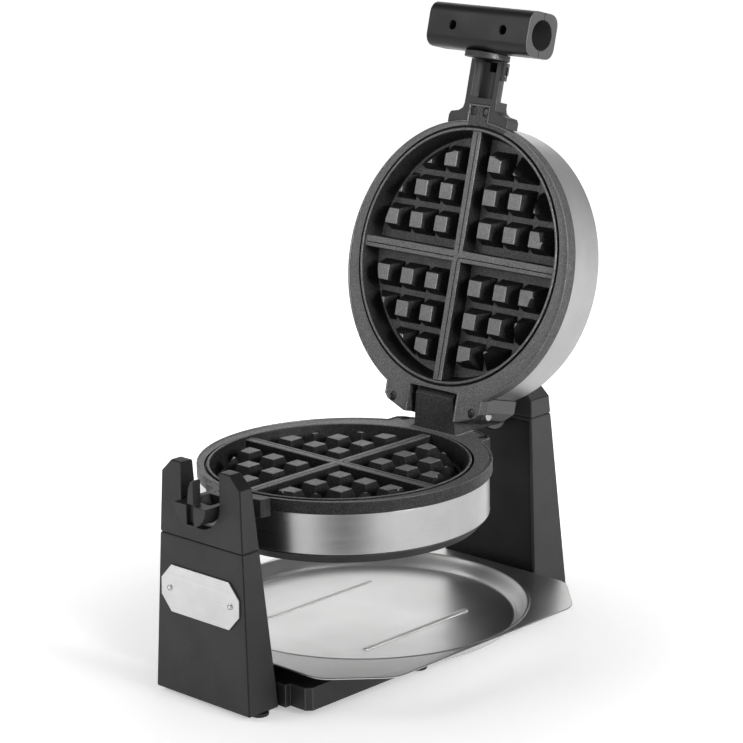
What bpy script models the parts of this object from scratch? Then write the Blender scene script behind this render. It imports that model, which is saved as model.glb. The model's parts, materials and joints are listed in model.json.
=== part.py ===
"""Rotating waffle maker with its lid open, for Blender 4.5.

Lengths are metres. The shapes are drawn around the centre of the lower waffle
cavity: z = 0 is the parting plane between the two plates, -Y is the handle side
and +Y is the hinge side. The lid is drawn closed and its pivot opens it.
"""
import math

import bmesh
import bpy
from mathutils import Matrix, Vector

# Where the drawing's origin sits in the part's own frame (feet on z = 0).
PARTING_HEIGHT = 0.1555
CENTRE_SHIFT_Y = -0.0327

GAP = 0.0003                    # clearance between touching pieces
CIRCLE = 56                     # facets round the large rings

# Housing rings, shared by both halves.
HOUSING_Y = 0.0059              # housing circle's centre behind the cavity's centre
RIM_RADIUS = 0.1122
RIM_DEPTH = 0.010
BAND_RADIUS = 0.110
BAND_BOTTOM = 0.0414
EDGE_BOTTOM = 0.0496
EDGE_RADIUS = 0.1035
DOME_HEIGHT = 0.005
SHEET = 0.0012

# Waffle cavity and its grid.
CAVITY_RADIUS = 0.0982
CAVITY_FLOOR_RADIUS = 0.0945
CAVITY_DEPTH = 0.016
PAN_DEPTH = 0.019
PAN_RADIUS = 0.1015
RIM_TOP = 0.0012                # rim face below the parting plane
BEAD_TOP = 0.00015
STUD_TOP = 0.0023
STUD_PITCH = 0.026
STUD_FIRST = 0.0225
STUD_BASE_HALF = 0.01075
STUD_TOP_HALF = 0.006
STUD_CLIP_TOP = 0.082
STUD_CLIP_FLOOR = 0.0935
DIVIDER_HALF = 0.0043
TAB_HALF = 0.011
TAB_FRONT = -0.1187

# Hinge between the halves.
HINGE_Y = 0.1183
HINGE_Z = 0.0162
LID_OPEN = math.radians(104.66)
PIN_RADIUS = 0.0035
BLOCK_HALF = 0.0223
BLOCK_TAPER = 3.3               # narrowing of the block per metre of height
BLOCK_RADIUS = 0.0157
BLOCK_FRONT = 0.0112
BLOCK_REAR = 0.0097
EAR_HALF = 0.0497
EAR_REAR = 0.127
NOTCH_FRONT = 0.105
LIP_SHEET = 0.0016              # the notch's lip, left thin for the block to swing past
RECESS_FRONT = 0.1023
LUG_INNER = 0.0235

# Pivot that the whole head turns over on.
SHAFT_RADIUS = 0.0108
BUSH_RADIUS = 0.0148
STEM_RADIUS = 0.0164
STEM_BORE = 0.011
STEM_FRONT = -0.1537
BRACKET_FRONT = -0.1225
BRACKET_DEPTH = 0.014
TROUGH_FRONT = -0.1435
TROUGH_BACK = -0.1240
SLOT_BACK = -0.1500
HORN_FRONT = -0.1534
HORN_BACK = -0.1458
HORN_LEFT = -0.0030
HORN_RIGHT = 0.0036
HORN_TOP = 0.0183

# Handle.
COLLAR_RADIUS = 0.0178
COLLAR_BACK = -0.1540
COLLAR_FRONT = -0.1605
GRIP_BACK = -0.1590
GRIP_FRONT = -0.1940
GRIP_LOW = -0.0175
GRIP_HIGH = 0.0165
GRIP_HALF = 0.051
GRIP_CORNER = 0.009
GRIP_HOLE = 0.0117
GRIP_HOLE_DEPTH = 0.020
GRIP_SCREW_X = 0.0256
GRIP_SCREW_Y = -0.1763

# Uprights: half width, outer y and inner y at the sloping sides' two ends.
UPRIGHT_LOW = -0.1523
UPRIGHT_SHOULDER = 0.016
UPRIGHT_TOP = 0.0259
HALF_LOW = 0.0499
HALF_SHOULDER = 0.0414
HALF_TOP = 0.0311
FRONT_OUTER = (-0.1477, -0.1430)
FRONT_INNER = (-0.1175, -0.1305)
REAR_INNER = (0.1702, 0.1753)
REAR_OUTER = (0.2110, 0.1982)
FRONT_SEAM = -0.0312
REAR_SEAM = 0.0013
WALL = 0.003
CRADLE_RADIUS = 0.020

# Controls on the rear upright's outer face.
KNOB_Z = -0.050
LAMP_Z = -0.088
LAMP_XS = (-0.012, 0.012)
GLAND_X = 0.030
GLAND_Z = -0.128

# Base, tray and feet.
DECK_HALF = 0.075
DECK_FRONT = -0.112
DECK_REAR = 0.168
DECK_TOP = -0.1338
DECK_LOW = -0.1515
NECK_HALF = 0.056
NECK_FRONT = -0.1171
TRAY_HALF = 0.128
TRAY_FRONT = -0.115
TRAY_REAR = 0.1635
TRAY_CORNER = 0.040
TRAY_RIM_Z = -0.121
TRAY_FLOOR_Z = -0.132
TRAY_CENTRE_Y = 0.0275
TRAY_SHEET = 0.0014
WELL_FLOOR_RADIUS = 0.1150
WELL_RIM_RADIUS = 0.1262
RIB_X = 0.052
FOOT_HEIGHT = 0.0032
FOOT_RADIUS = 0.007

FINISHES = {                    # colour, roughness, metallic
    "black_plastic": ((0.030, 0.030, 0.032), 0.45, 0.0),
    "nonstick": ((0.060, 0.060, 0.063), 0.50, 0.2),
    "steel": ((0.62, 0.61, 0.60), 0.32, 1.0),
    "dark_trim": ((0.17, 0.17, 0.17), 0.40, 0.6),
    "tray_steel": ((0.66, 0.66, 0.65), 0.28, 1.0),
    "heater": ((0.30, 0.28, 0.27), 0.55, 0.8),
    "rubber": ((0.020, 0.020, 0.020), 0.80, 0.0),
    "screw": ((0.20, 0.20, 0.21), 0.35, 0.9),
    "red_lamp": ((0.70, 0.04, 0.03), 0.20, 0.0),
    "green_lamp": ((0.05, 0.50, 0.08), 0.20, 0.0),
}


# ---------------------------------------------------------------- helpers

def material(finish):
    found = bpy.data.materials.get(finish)
    if found:
        return found
    made = bpy.data.materials.new(finish)
    made.use_nodes = True
    shader = made.node_tree.nodes["Principled BSDF"]
    colour, roughness, metallic = FINISHES[finish]
    shader.inputs["Base Color"].default_value = (*colour, 1.0)
    shader.inputs["Roughness"].default_value = roughness
    shader.inputs["Metallic"].default_value = metallic
    made.diffuse_color = (*colour, 1.0)
    return made


def put(name, shape, finish, parent, smooth=30.0):
    """Turn a bmesh into a named object under one of the pivots."""
    bmesh.ops.recalc_face_normals(shape, faces=shape.faces)
    mesh = bpy.data.meshes.new(name)
    shape.to_mesh(mesh)
    shape.free()
    mesh.shade_smooth()
    mesh.set_sharp_from_angle(angle=math.radians(smooth))
    piece = bpy.data.objects.new(name, mesh)
    bpy.context.collection.objects.link(piece)
    piece.data.materials.append(material(finish))
    piece.parent = parent
    if parent:
        piece.location = -Vector(parent["drawn_at"])
    return piece


def pivot(name, drawn_at, parent=None, tilt=0.0):
    """An empty on a joint's axis; drawn_at is its place in the drawing."""
    empty = bpy.data.objects.new(name, None)
    empty.empty_display_size = 0.02
    bpy.context.collection.objects.link(empty)
    empty["drawn_at"] = drawn_at
    empty.parent = parent
    above = Vector(parent["drawn_at"]) if parent else Vector((0.0, 0.0, 0.0))
    empty.location = Vector(drawn_at) - above
    empty.rotation_euler.x = tilt
    return empty


def combine(shape, tool, operation="DIFFERENCE"):
    """Boolean of two bmeshes; both are used up and the result is returned."""
    pair = []
    for label, source in (("shape", shape), ("tool", tool)):
        bmesh.ops.recalc_face_normals(source, faces=source.faces)
        mesh = bpy.data.meshes.new(label)
        source.to_mesh(mesh)
        source.free()
        holder = bpy.data.objects.new(label, mesh)
        bpy.context.collection.objects.link(holder)
        pair.append(holder)
    body, cutter = pair
    cut = body.modifiers.new("cut", "BOOLEAN")
    cut.solver = "EXACT"
    cut.operation = operation
    cut.object = cutter
    graph = bpy.context.evaluated_depsgraph_get()
    result = bmesh.new()
    result.from_object(body, graph)
    for holder in pair:
        mesh = holder.data
        bpy.data.objects.remove(holder)
        bpy.data.meshes.remove(mesh)
    return result


def arc(centre, radius, start, end, steps):
    """Points on an arc; angles in degrees."""
    points = []
    for i in range(steps + 1):
        angle = math.radians(start + (end - start) * i / steps)
        across = centre[0] + radius * math.cos(angle)
        up = centre[1] + radius * math.sin(angle)
        points.append((across, up))
    return points


def prism(outline, low, high, axis="z"):
    """Extrude a closed outline from low to high along an axis."""
    def place(u, v, w):
        return {"x": (w, u, v), "y": (u, w, v), "z": (u, v, w)}[axis]
    shape = bmesh.new()
    ends = []
    for level in (low, high):
        ends.append([shape.verts.new(place(u, v, level)) for u, v in outline])
    shape.faces.new(ends[0])
    shape.faces.new(list(reversed(ends[1])))
    count = len(outline)
    for i in range(count):
        j = (i + 1) % count
        shape.faces.new((ends[0][i], ends[1][i], ends[1][j], ends[0][j]))
    bmesh.ops.recalc_face_normals(shape, faces=shape.faces)
    return shape


def box(x, y, z):
    outline = [(x[0], y[0]), (x[1], y[0]), (x[1], y[1]), (x[0], y[1])]
    return prism(outline, z[0], z[1])


def rounded_box(x, y, z, radius, axis="z", steps=3):
    """A box whose four edges along one axis are rounded."""
    spans = {"x": (y, z, x), "y": (x, z, y), "z": (x, y, z)}[axis]
    (u0, u1), (v0, v1), (low, high) = spans
    outline = arc((u1 - radius, v1 - radius), radius, 0, 90, steps)
    outline += arc((u0 + radius, v1 - radius), radius, 90, 180, steps)
    outline += arc((u0 + radius, v0 + radius), radius, 180, 270, steps)
    outline += arc((u1 - radius, v0 + radius), radius, 270, 360, steps)
    return prism(outline, low, high, axis)


def rod(centre, radius, low, high, axis="z", sides=24, far_radius=None):
    """A cylinder, or a cone when far_radius is given, along an axis."""
    def place(u, v, w):
        return {"x": (w, u, v), "y": (u, w, v), "z": (u, v, w)}[axis]
    shape = bmesh.new()
    ends = []
    for level, size in ((low, radius), (high, far_radius or radius)):
        ring = arc(centre, size, 0, 360, sides)[:-1]
        ends.append([shape.verts.new(place(u, v, level)) for u, v in ring])
    shape.faces.new(ends[0])
    shape.faces.new(list(reversed(ends[1])))
    for i in range(sides):
        j = (i + 1) % sides
        shape.faces.new((ends[0][i], ends[1][i], ends[1][j], ends[0][j]))
    bmesh.ops.recalc_face_normals(shape, faces=shape.faces)
    return shape


def turned(profile, centre, steps, closed=True):
    """Spin an (r, z) profile about the vertical through centre."""
    shape = bmesh.new()
    line = [shape.verts.new((centre[0] + r, centre[1], z)) for r, z in profile]
    pairs = list(zip(line, line[1:]))
    if closed:
        pairs.append((line[-1], line[0]))
    edges = [shape.edges.new(pair) for pair in pairs]
    axis_point = (centre[0], centre[1], 0.0)
    bmesh.ops.spin(shape, geom=line + edges, cent=axis_point, axis=(0, 0, 1),
                   angle=math.tau, steps=steps, use_merge=True)
    bmesh.ops.remove_doubles(shape, verts=shape.verts, dist=1e-6)
    bmesh.ops.dissolve_degenerate(shape, edges=shape.edges, dist=1e-6)
    bmesh.ops.recalc_face_normals(shape, faces=shape.faces)
    return shape


def lofted(sections):
    """Skin a stack of equal-sized closed sections given as 3D points."""
    shape = bmesh.new()
    rings = [[shape.verts.new(point) for point in section] for section in sections]
    shape.faces.new(rings[0])
    shape.faces.new(list(reversed(rings[-1])))
    count = len(sections[0])
    for lower, upper in zip(rings, rings[1:]):
        for i in range(count):
            j = (i + 1) % count
            shape.faces.new((lower[i], upper[i], upper[j], lower[j]))
    bmesh.ops.recalc_face_normals(shape, faces=shape.faces)
    return shape


def mirrored(shape):
    """Turn a lower piece into its upper twin across the parting plane."""
    for vert in shape.verts:
        vert.co.z = -vert.co.z
    bmesh.ops.reverse_faces(shape, faces=shape.faces)
    return shape


def between(pair, height):
    """Upright wall position at a height, from its bottom and shoulder values."""
    share = (height - UPRIGHT_LOW) / (UPRIGHT_SHOULDER - UPRIGHT_LOW)
    return pair[0] + (pair[1] - pair[0]) * share


# ---------------------------------------------------------------- waffle plates

def rim_outline(notch_half, notch_front):
    """Plate rim seen from above: circle, two hinge ears, notch and front tab."""
    start = math.degrees(math.acos(EAR_HALF / RIM_RADIUS))
    tab = math.degrees(math.asin(TAB_HALF / RIM_RADIUS))
    centre = (0.0, HOUSING_Y)
    points = [(notch_half, notch_front), (notch_half, EAR_REAR)]
    points += [(notch_half + 0.003, EAR_REAR), (EAR_HALF - 0.004, 0.1205)]
    points += [(EAR_HALF, 0.1165)]
    points += arc(centre, RIM_RADIUS, start, -90 + tab, 22)
    points += [(TAB_HALF, TAB_FRONT), (-TAB_HALF, TAB_FRONT)]
    points += arc(centre, RIM_RADIUS, -90 - tab, -180 - start, 22)
    points += [(-EAR_HALF, 0.1165), (-EAR_HALF + 0.004, 0.1205)]
    points += [(-notch_half - 0.003, EAR_REAR), (-notch_half, EAR_REAR)]
    points += [(-notch_half, notch_front)]
    return points


def stud_block():
    """Every stud of the grid as a tapered block, clipped by a cone."""
    studs = bmesh.new()
    top, base = -STUD_TOP, -CAVITY_DEPTH - 0.001
    slope = (STUD_BASE_HALF - STUD_TOP_HALF) / (CAVITY_DEPTH - STUD_TOP)
    foot = STUD_BASE_HALF + 0.001 * slope
    for i in range(3):
        for j in range(3):
            if i + j > 3:
                continue
            for sx in (-1, 1):
                for sy in (-1, 1):
                    x = sx * (STUD_FIRST + i * STUD_PITCH)
                    y = sy * (STUD_FIRST + j * STUD_PITCH)
                    add_frustum(studs, (x, y), foot, base, STUD_TOP_HALF, top)
    cone = rod((0, 0), STUD_CLIP_FLOOR, base - 0.001, top + 0.001, sides=48,
               far_radius=STUD_CLIP_TOP)
    return combine(studs, cone, "INTERSECT")


def add_frustum(shape, centre, low_half, low, high_half, high):
    rings = []
    for half, level in ((low_half, low), (high_half, high)):
        corners = [(-half, -half), (half, -half), (half, half), (-half, half)]
        ring = [shape.verts.new((centre[0] + u, centre[1] + v, level)) for u, v in corners]
        rings.append(ring)
    shape.faces.new(list(reversed(rings[0])))
    shape.faces.new(rings[1])
    for i in range(4):
        j = (i + 1) % 4
        shape.faces.new((rings[0][i], rings[0][j], rings[1][j], rings[1][i]))


def waffle_plate(notch_half, notch_front):
    """The lower plate: rim, pan, cavity, dividers and studs as one casting."""
    plate = prism(rim_outline(notch_half, notch_front), -RIM_DEPTH, -RIM_TOP)
    pan = turned([(0.0, -PAN_DEPTH), (PAN_RADIUS - 0.002, -PAN_DEPTH),
                  (PAN_RADIUS, -PAN_DEPTH + 0.002), (PAN_RADIUS, -BEAD_TOP),
                  (0.0, -BEAD_TOP)], (0.0, 0.0), 48, closed=False)
    plate = combine(plate, pan, "UNION")
    cavity = rod((0, 0), CAVITY_FLOOR_RADIUS, -CAVITY_DEPTH, 0.002, sides=48,
                 far_radius=CAVITY_RADIUS + 0.0004)
    plate = combine(plate, cavity)
    reach = CAVITY_RADIUS + 0.0012
    across = divider("x", reach)
    along = divider("y", reach)
    plate = combine(plate, combine(across, along, "UNION"), "UNION")
    plate = combine(plate, stud_block(), "UNION")
    for x, y in plate_screw_places():
        recess = rod((x, y), 0.0034, -0.0032, 0.001, sides=12)
        bore = rod((x, y), 0.0018, -RIM_DEPTH - 0.001, -0.003, sides=12)
        plate = combine(plate, recess)
        plate = combine(plate, bore)
    return plate


def divider(axis, reach):
    low, high = -CAVITY_DEPTH - 0.001, -STUD_TOP
    half = DIVIDER_HALF
    section = [(-half - 0.001, low), (half + 0.001, low), (half, high), (-half, high)]
    return prism(section, -reach, reach, axis)


def plate_screw_places():
    return [(-0.041, 0.1175), (0.041, 0.1175), (-0.006, -0.1135), (0.006, -0.1135)]


def plate_screw(place):
    """Countersunk screw, its head just under the rim's face."""
    x, y = place
    profile = [(0.0, -0.0098), (0.0015, -0.0098), (0.0015, -0.0029),
               (0.0031, -0.0029), (0.0031, -0.0021), (0.0024, -0.0016), (0.0, -0.0016)]
    return turned(profile, (x, y), 12, closed=False)


# ---------------------------------------------------------------- housing rings

def steel_band():
    top, low = -RIM_DEPTH - GAP, -BAND_BOTTOM
    inner = BAND_RADIUS - SHEET
    profile = [(inner, low), (BAND_RADIUS, low), (BAND_RADIUS, top), (inner, top)]
    return turned(profile, (0.0, HOUSING_Y), CIRCLE)


def edge_ring():
    """Tapered ring between the steel band and the face cover."""
    top, low = -BAND_BOTTOM - GAP, -EDGE_BOTTOM
    outer = BAND_RADIUS - 0.0008
    profile = [(EDGE_RADIUS - 0.006, low), (EDGE_RADIUS - 0.0008, low),
               (EDGE_RADIUS, low + 0.0008), (outer, top), (outer - 0.004, top)]
    return turned(profile, (0.0, HOUSING_Y), CIRCLE)


def face_cover():
    """Shallow domed disc that closes the housing."""
    edge = EDGE_RADIUS - 0.006 - GAP
    outside = [(edge * k, -EDGE_BOTTOM - DOME_HEIGHT * (1 - k * k)) for k in (0, 0.6, 1)]
    inside = [(r, z + 0.0015) for r, z in reversed(outside)]
    return turned(outside + inside, (0.0, HOUSING_Y), CIRCLE, closed=False)


def hinge_slot(half):
    """Room that the hinge block and the pivot shaft need in the lid's rear."""
    low, behind_pan, top = RIM_TOP + LIP_SHEET, PAN_DEPTH + 0.0005, 0.070
    outline = [(RECESS_FRONT, low), (0.140, low), (0.140, top), (0.100, top),
               (0.099, 0.035), (0.099, behind_pan), (RECESS_FRONT, behind_pan)]
    return prism(outline, -half, half, "x")


def heating_element():
    """Open loop of tubular heater, its two cold ends turned down."""
    section_radius, loop_radius, level = 0.0034, 0.066, -0.0245
    opening, steps, sides = 22.0, 26, 6
    path = []
    for x, y in arc((0, 0), loop_radius, 90 + opening, 450 - opening, steps):
        path.append(Vector((x, y, level)))
    first, last = path[0], path[-1]
    path = [first + Vector((0, 0.006, -0.012)), first + Vector((0, 0.004, -0.005))] + path
    path += [last + Vector((0, 0.004, -0.005)), last + Vector((0, 0.006, -0.012))]
    sections = []
    for i, point in enumerate(path):
        ahead = path[min(i + 1, len(path) - 1)] - path[max(i - 1, 0)]
        ahead.normalize()
        side = ahead.cross(Vector((0, 0, 1)))
        if side.length < 0.3:
            side = Vector((1, 0, 0))
        side.normalize()
        up = side.cross(ahead)
        ring = []
        for u, v in arc((0, 0), section_radius, 0, 360, sides)[:-1]:
            ring.append(point + side * u + up * v)
        sections.append(ring)
    return lofted(sections)


def thermostat():
    profile = [(0.0, -0.0300), (0.009, -0.0300), (0.009, -0.0225), (0.0125, -0.0225),
               (0.0125, -0.0193), (0.0, -0.0193)]
    return turned(profile, (0.0, 0.022), 20, closed=False)


def half_housing(prefix, parent, flip, notch_half, notch_front):
    """Everything that the two halves share; flip makes the upper half."""
    def shaped(shape):
        return mirrored(shape) if flip else shape
    plate = waffle_plate(notch_half, notch_front)
    plate = shaped(plate)
    if flip:
        plate = combine(plate, hinge_slot(notch_half))
    put(prefix + "_waffle_plate", plate, "nonstick", parent)
    rings = ((steel_band, "_steel_band", "steel"), (edge_ring, "_edge_ring", "dark_trim"),
             (face_cover, "_face_cover", "steel"))
    for make, label, finish in rings:
        shape = shaped(make())
        if flip:
            shape = combine(shape, hinge_slot(LUG_INNER - 0.0005))
        put(prefix + label, shape, finish, parent)
    put(prefix + "_heating_element", shaped(heating_element()), "heater", parent)
    put(prefix + "_thermostat", shaped(thermostat()), "heater", parent)
    for number, place in enumerate(plate_screw_places(), 1):
        name = f"{prefix}_plate_screw_{number}"
        put(name, shaped(plate_screw(place)), "screw", parent)


# ---------------------------------------------------------------- head pieces

def hinge_block():
    """Post at the rear of the lower half that carries the hinge pin."""
    front, rear = HINGE_Y - BLOCK_FRONT, HINGE_Y + BLOCK_REAR
    start = 180 - math.degrees(math.acos(BLOCK_FRONT / BLOCK_RADIUS))
    foot_y, step_z, low = 0.1165, -RIM_DEPTH - GAP, -0.040
    outline = arc((HINGE_Y, HINGE_Z), BLOCK_RADIUS, start, 55, 8)
    outline += [(rear, HINGE_Z), (rear, low), (foot_y, low), (foot_y, step_z)]
    outline += [(front, step_z)]
    block = prism(outline, -BLOCK_HALF, BLOCK_HALF, "x")
    for vert in block.verts:
        rise = max(0.0, vert.co.z - step_z)
        vert.co.x *= 1.0 - BLOCK_TAPER * rise
    hole = rod((HINGE_Y, HINGE_Z), PIN_RADIUS + GAP, -0.03, 0.03, "x", sides=16)
    return combine(block, hole)


def hinge_pin():
    return rod((HINGE_Y, HINGE_Z), PIN_RADIUS, -0.047, 0.047, "x", sides=16)


def pivot_shaft():
    """Hollow journal from the hinge block into the rear upright."""
    low, high = HINGE_Y + BLOCK_REAR + GAP, 0.1950
    shaft = rod((0, 0), SHAFT_RADIUS, low, high, "y", sides=24)
    flange = rod((0, 0), 0.0125, low, low + 0.003, "y", sides=24)
    bore = rod((0, 0), 0.006, low + 0.012, high + 0.001, "y", sides=16)
    return combine(combine(shaft, flange, "UNION"), bore)


def half_round(radius, low, high, top):
    """Lower half of a rod along Y, cut off flat at the height top."""
    outline = [(x, z) for x, z in arc((0, 0), radius, 180, 360, 16)]
    outline = [(x, min(z, top)) for x, z in outline]
    return prism(outline, low, high, "y")


def lower_stem():
    """Half-round journal that lies in the cradle, with its two claws and horn."""
    stem = half_round(STEM_RADIUS, STEM_FRONT, BRACKET_FRONT + 0.001, -GAP)
    trough = rod((0, 0), STEM_BORE, TROUGH_FRONT, TROUGH_BACK, "y", sides=24)
    stem = combine(stem, trough)
    slot = box((-0.0036, 0.0036), (STEM_FRONT - 0.001, SLOT_BACK), (-0.0150, 0.001))
    stem = combine(stem, slot)
    root = box((HORN_LEFT, HORN_RIGHT), (SLOT_BACK - 0.0005, HORN_BACK), (-0.0130, 0.0040))
    blade = [(HORN_LEFT, 0.0005), (HORN_RIGHT, 0.0005), (HORN_RIGHT, HORN_TOP),
             (HORN_RIGHT - 0.0022, HORN_TOP), (HORN_LEFT + 0.0014, 0.0120)]
    horn = combine(prism(blade, HORN_FRONT, HORN_BACK, "y"), root, "UNION")
    stem = combine(stem, horn, "UNION")
    return combine(stem, bracket(), "UNION")


def bracket():
    """Winged foot that fixes a journal to the front of its half (lower one)."""
    wing = [(-0.0302, -0.098), (-0.0302, -0.1085), (-0.0285, -0.1112), (-0.0210, -0.1126),
            (-0.0172, -0.1150), (-0.0160, -0.1185), (-0.0160, BRACKET_FRONT)]
    outline = wing + [(-x, y) for x, y in reversed(wing)]
    shape = prism(outline, -BRACKET_DEPTH, -GAP)
    rim = rod((0, HOUSING_Y), RIM_RADIUS + GAP, -0.06, 0.01, sides=CIRCLE)
    shape = combine(shape, rim)
    pocket = box((-TAB_HALF - GAP, TAB_HALF + GAP), (TAB_FRONT - GAP, -0.09),
                 (-RIM_DEPTH - GAP, 0.01))
    return combine(shape, pocket)


# ---------------------------------------------------------------- lid pieces

def lug(side):
    """Knuckle behind an ear of the lid, round the hinge pin."""
    rear = 0.1275
    outline = [(LUG_INNER, 0.095), (LUG_INNER, rear), (0.027, rear), (0.0440, 0.1215),
               (0.0490, 0.1150), (0.0490, 0.095)]
    outline = [(side * x, y) for x, y in outline]
    shape = prism(outline, RIM_DEPTH + GAP, 0.0440)
    band = rod((0, HOUSING_Y), BAND_RADIUS + GAP, 0.0, 0.06, sides=CIRCLE)
    shape = combine(shape, band)
    wedge = prism([(0.1130, 0.0450), (0.1290, 0.0330), (0.1290, 0.0460)], -0.06, 0.06, "x")
    shape = combine(shape, wedge)
    hole = rod((HINGE_Y, HINGE_Z), PIN_RADIUS + GAP, -0.06, 0.06, "x", sides=16)
    if side > 0:
        keep = box((0.0, 0.0473), (0.09, 0.14), (0.0, 0.06))
    else:
        keep = box((-0.0473, 0.0), (0.09, 0.14), (0.0, 0.06))
    return combine(shape, combine(hole, keep, "INTERSECT"))


def handle_stem():
    """Upper half-round journal: a trough, its bracket and a pocket for the horn."""
    stem = half_round(STEM_RADIUS - 0.0004, COLLAR_BACK + GAP, BRACKET_FRONT + 0.001, -GAP)
    bump = box((-0.0065, 0.0065), (COLLAR_BACK + GAP, -0.1443), (-0.0208, -0.0050))
    stem = combine(stem, bump, "UNION")
    trough = rod((0, 0), STEM_BORE, -0.1523, TROUGH_BACK, "y", sides=24)
    stem = combine(stem, trough)
    pocket = box((HORN_LEFT - 0.001, HORN_RIGHT + 0.001), (HORN_FRONT - 0.0002, -0.1455),
                 (-0.0192, 0.001))
    stem = combine(stem, pocket)
    return mirrored(combine(stem, bracket(), "UNION"))


def handle_collar():
    collar = rod((0, 0), COLLAR_RADIUS, COLLAR_FRONT, COLLAR_BACK, "y", sides=32)
    seat = box((-0.06, 0.06), (-0.20, GRIP_BACK + GAP), (GRIP_LOW - GAP, GRIP_HIGH + GAP))
    return combine(collar, seat)


def latch_clip():
    """Spring catch that hugs the +X wall of the upper stem."""
    inner, outer = STEM_RADIUS - 0.0001, STEM_RADIUS + 0.0013
    outline = arc((0, 0), outer, 2, 46, 8) + arc((0, 0), inner, 46, 2, 8)
    clip = prism(outline, -0.1530, -0.1392, "y")
    hole = box((0.010, 0.020), (-0.1500, -0.1425), (0.0035, 0.0090))
    return combine(clip, hole)


def grip_outline():
    middle_y = 0.5 * (GRIP_BACK + GRIP_FRONT)
    return middle_y, 0.5 * (GRIP_LOW + GRIP_HIGH)


def grip_shell(front):
    """Half of the bar handle; front is the half on the plates' side."""
    shape = rounded_box((-GRIP_HALF, GRIP_HALF), (GRIP_FRONT, GRIP_BACK),
                        (GRIP_LOW, GRIP_HIGH), GRIP_CORNER, "x", steps=5)
    middle_y, middle_z = grip_outline()
    if front:
        away = box((-0.06, 0.06), (-0.2, -0.15), (middle_z - 0.00015, 0.03))
    else:
        away = box((-0.06, 0.06), (-0.2, -0.15), (-0.03, middle_z + 0.00015))
    shape = combine(shape, away)
    for side in (-1, 1):
        outer = side * (GRIP_HALF + 0.001)
        inner = side * (GRIP_HALF - GRIP_HOLE_DEPTH)
        hollow = rod((middle_y, middle_z), GRIP_HOLE, min(outer, inner), max(outer, inner),
                     "x", sides=24)
        shape = combine(shape, hollow)
    if front:
        for side in (-1, 1):
            place = (side * GRIP_SCREW_X, GRIP_SCREW_Y)
            shape = combine(shape, rod(place, 0.0037, -0.03, -0.0085, sides=16))
    return shape


def grip_screw(side):
    profile = [(0.0, -0.0088), (0.0026, -0.0088), (0.0026, -0.0105), (0.0018, -0.0115),
               (0.0, -0.0115)]
    return turned(profile, (side * GRIP_SCREW_X, GRIP_SCREW_Y), 14, closed=False)


# ---------------------------------------------------------------- stand pieces

def upright_section(outer, inner, height, inset=0.0, half=None):
    """Four corners of an upright at a height, as 3D points."""
    shoulder = min(height, UPRIGHT_SHOULDER)
    wide = half or between((HALF_LOW, HALF_SHOULDER), shoulder)
    direction = 1 if inner > outer else -1
    x = wide - inset
    near = outer + direction * inset
    far = inner - direction * inset
    return [(-x, near, height), (x, near, height), (x, far, height), (-x, far, height)]


def upright(outer_pair, inner_pair, low, high, inset=0.0):
    """Sloping-sided upright between two heights."""
    levels = [low]
    if low < UPRIGHT_SHOULDER < high:
        levels.append(UPRIGHT_SHOULDER)
    levels.append(high)
    sections = []
    for level in levels:
        outer = between(outer_pair, level)
        inner = between(inner_pair, level)
        half = None
        if level > UPRIGHT_SHOULDER:
            half = HALF_TOP
        sections.append(upright_section(outer, inner, level, inset, half))
    return lofted(sections)


def bevelled(shape, width, steep=60.0, segments=2):
    """Round the sharp edges of a simple solid."""
    edges = [e for e in shape.edges if e.calc_face_angle(0.0) > math.radians(steep)]
    bmesh.ops.bevel(shape, geom=edges, offset=width, segments=segments, profile=0.5,
                    affect="EDGES", clamp_overlap=True)
    return shape


def upright_shell(outer_pair, inner_pair, low, high):
    """Upright hollowed from its inner side, which a cover panel closes."""
    shell = bevelled(upright(outer_pair, inner_pair, low, high), 0.0015)
    direction = 1 if inner_pair[0] > outer_pair[0] else -1
    outer_low = [value + direction * WALL for value in outer_pair]
    inner_high = [value + direction * 0.002 for value in inner_pair]
    sections = []
    for level in (low + WALL, high - WALL):
        x = between((HALF_LOW, HALF_SHOULDER), level) - WALL
        near, far = between(outer_low, level), between(inner_high, level)
        corners = [(-x, near, level), (x, near, level), (x, far, level), (-x, far, level)]
        sections.append(corners)
    return combine(shell, lofted(sections))


def inner_panel(inner_pair, outward, low, high):
    """Cover panel set into the open side of an upright shell."""
    sections = []
    for level in (low + WALL + GAP, high - WALL - GAP):
        x = between((HALF_LOW, HALF_SHOULDER), level) - WALL - GAP
        face = between(inner_pair, level) - outward * 0.0005
        back = face - outward * 0.0020
        corners = [(-x, face, level), (x, face, level), (x, back, level), (-x, back, level)]
        sections.append(corners)
    return lofted(sections)


def front_cap():
    """Top of the front upright, with the open cradle for the journal."""
    cap = bevelled(upright(FRONT_OUTER, FRONT_INNER, FRONT_SEAM + GAP, UPRIGHT_TOP), 0.0015)
    round_part = rod((0, 0), CRADLE_RADIUS, -0.16, -0.12, "y", sides=32)
    mouth = box((-CRADLE_RADIUS, CRADLE_RADIUS), (-0.161, -0.119), (0.0, 0.04))
    return combine(cap, combine(round_part, mouth, "UNION"))


def cradle_liner():
    """Half-round bearing strip in the bottom of the cradle."""
    outer = arc((0, 0), CRADLE_RADIUS - GAP, 180, 360, 16)
    inner = arc((0, 0), STEM_RADIUS + GAP, 360, 180, 16)
    return prism(outer + inner, -0.1387, -0.1305, "y")


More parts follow.
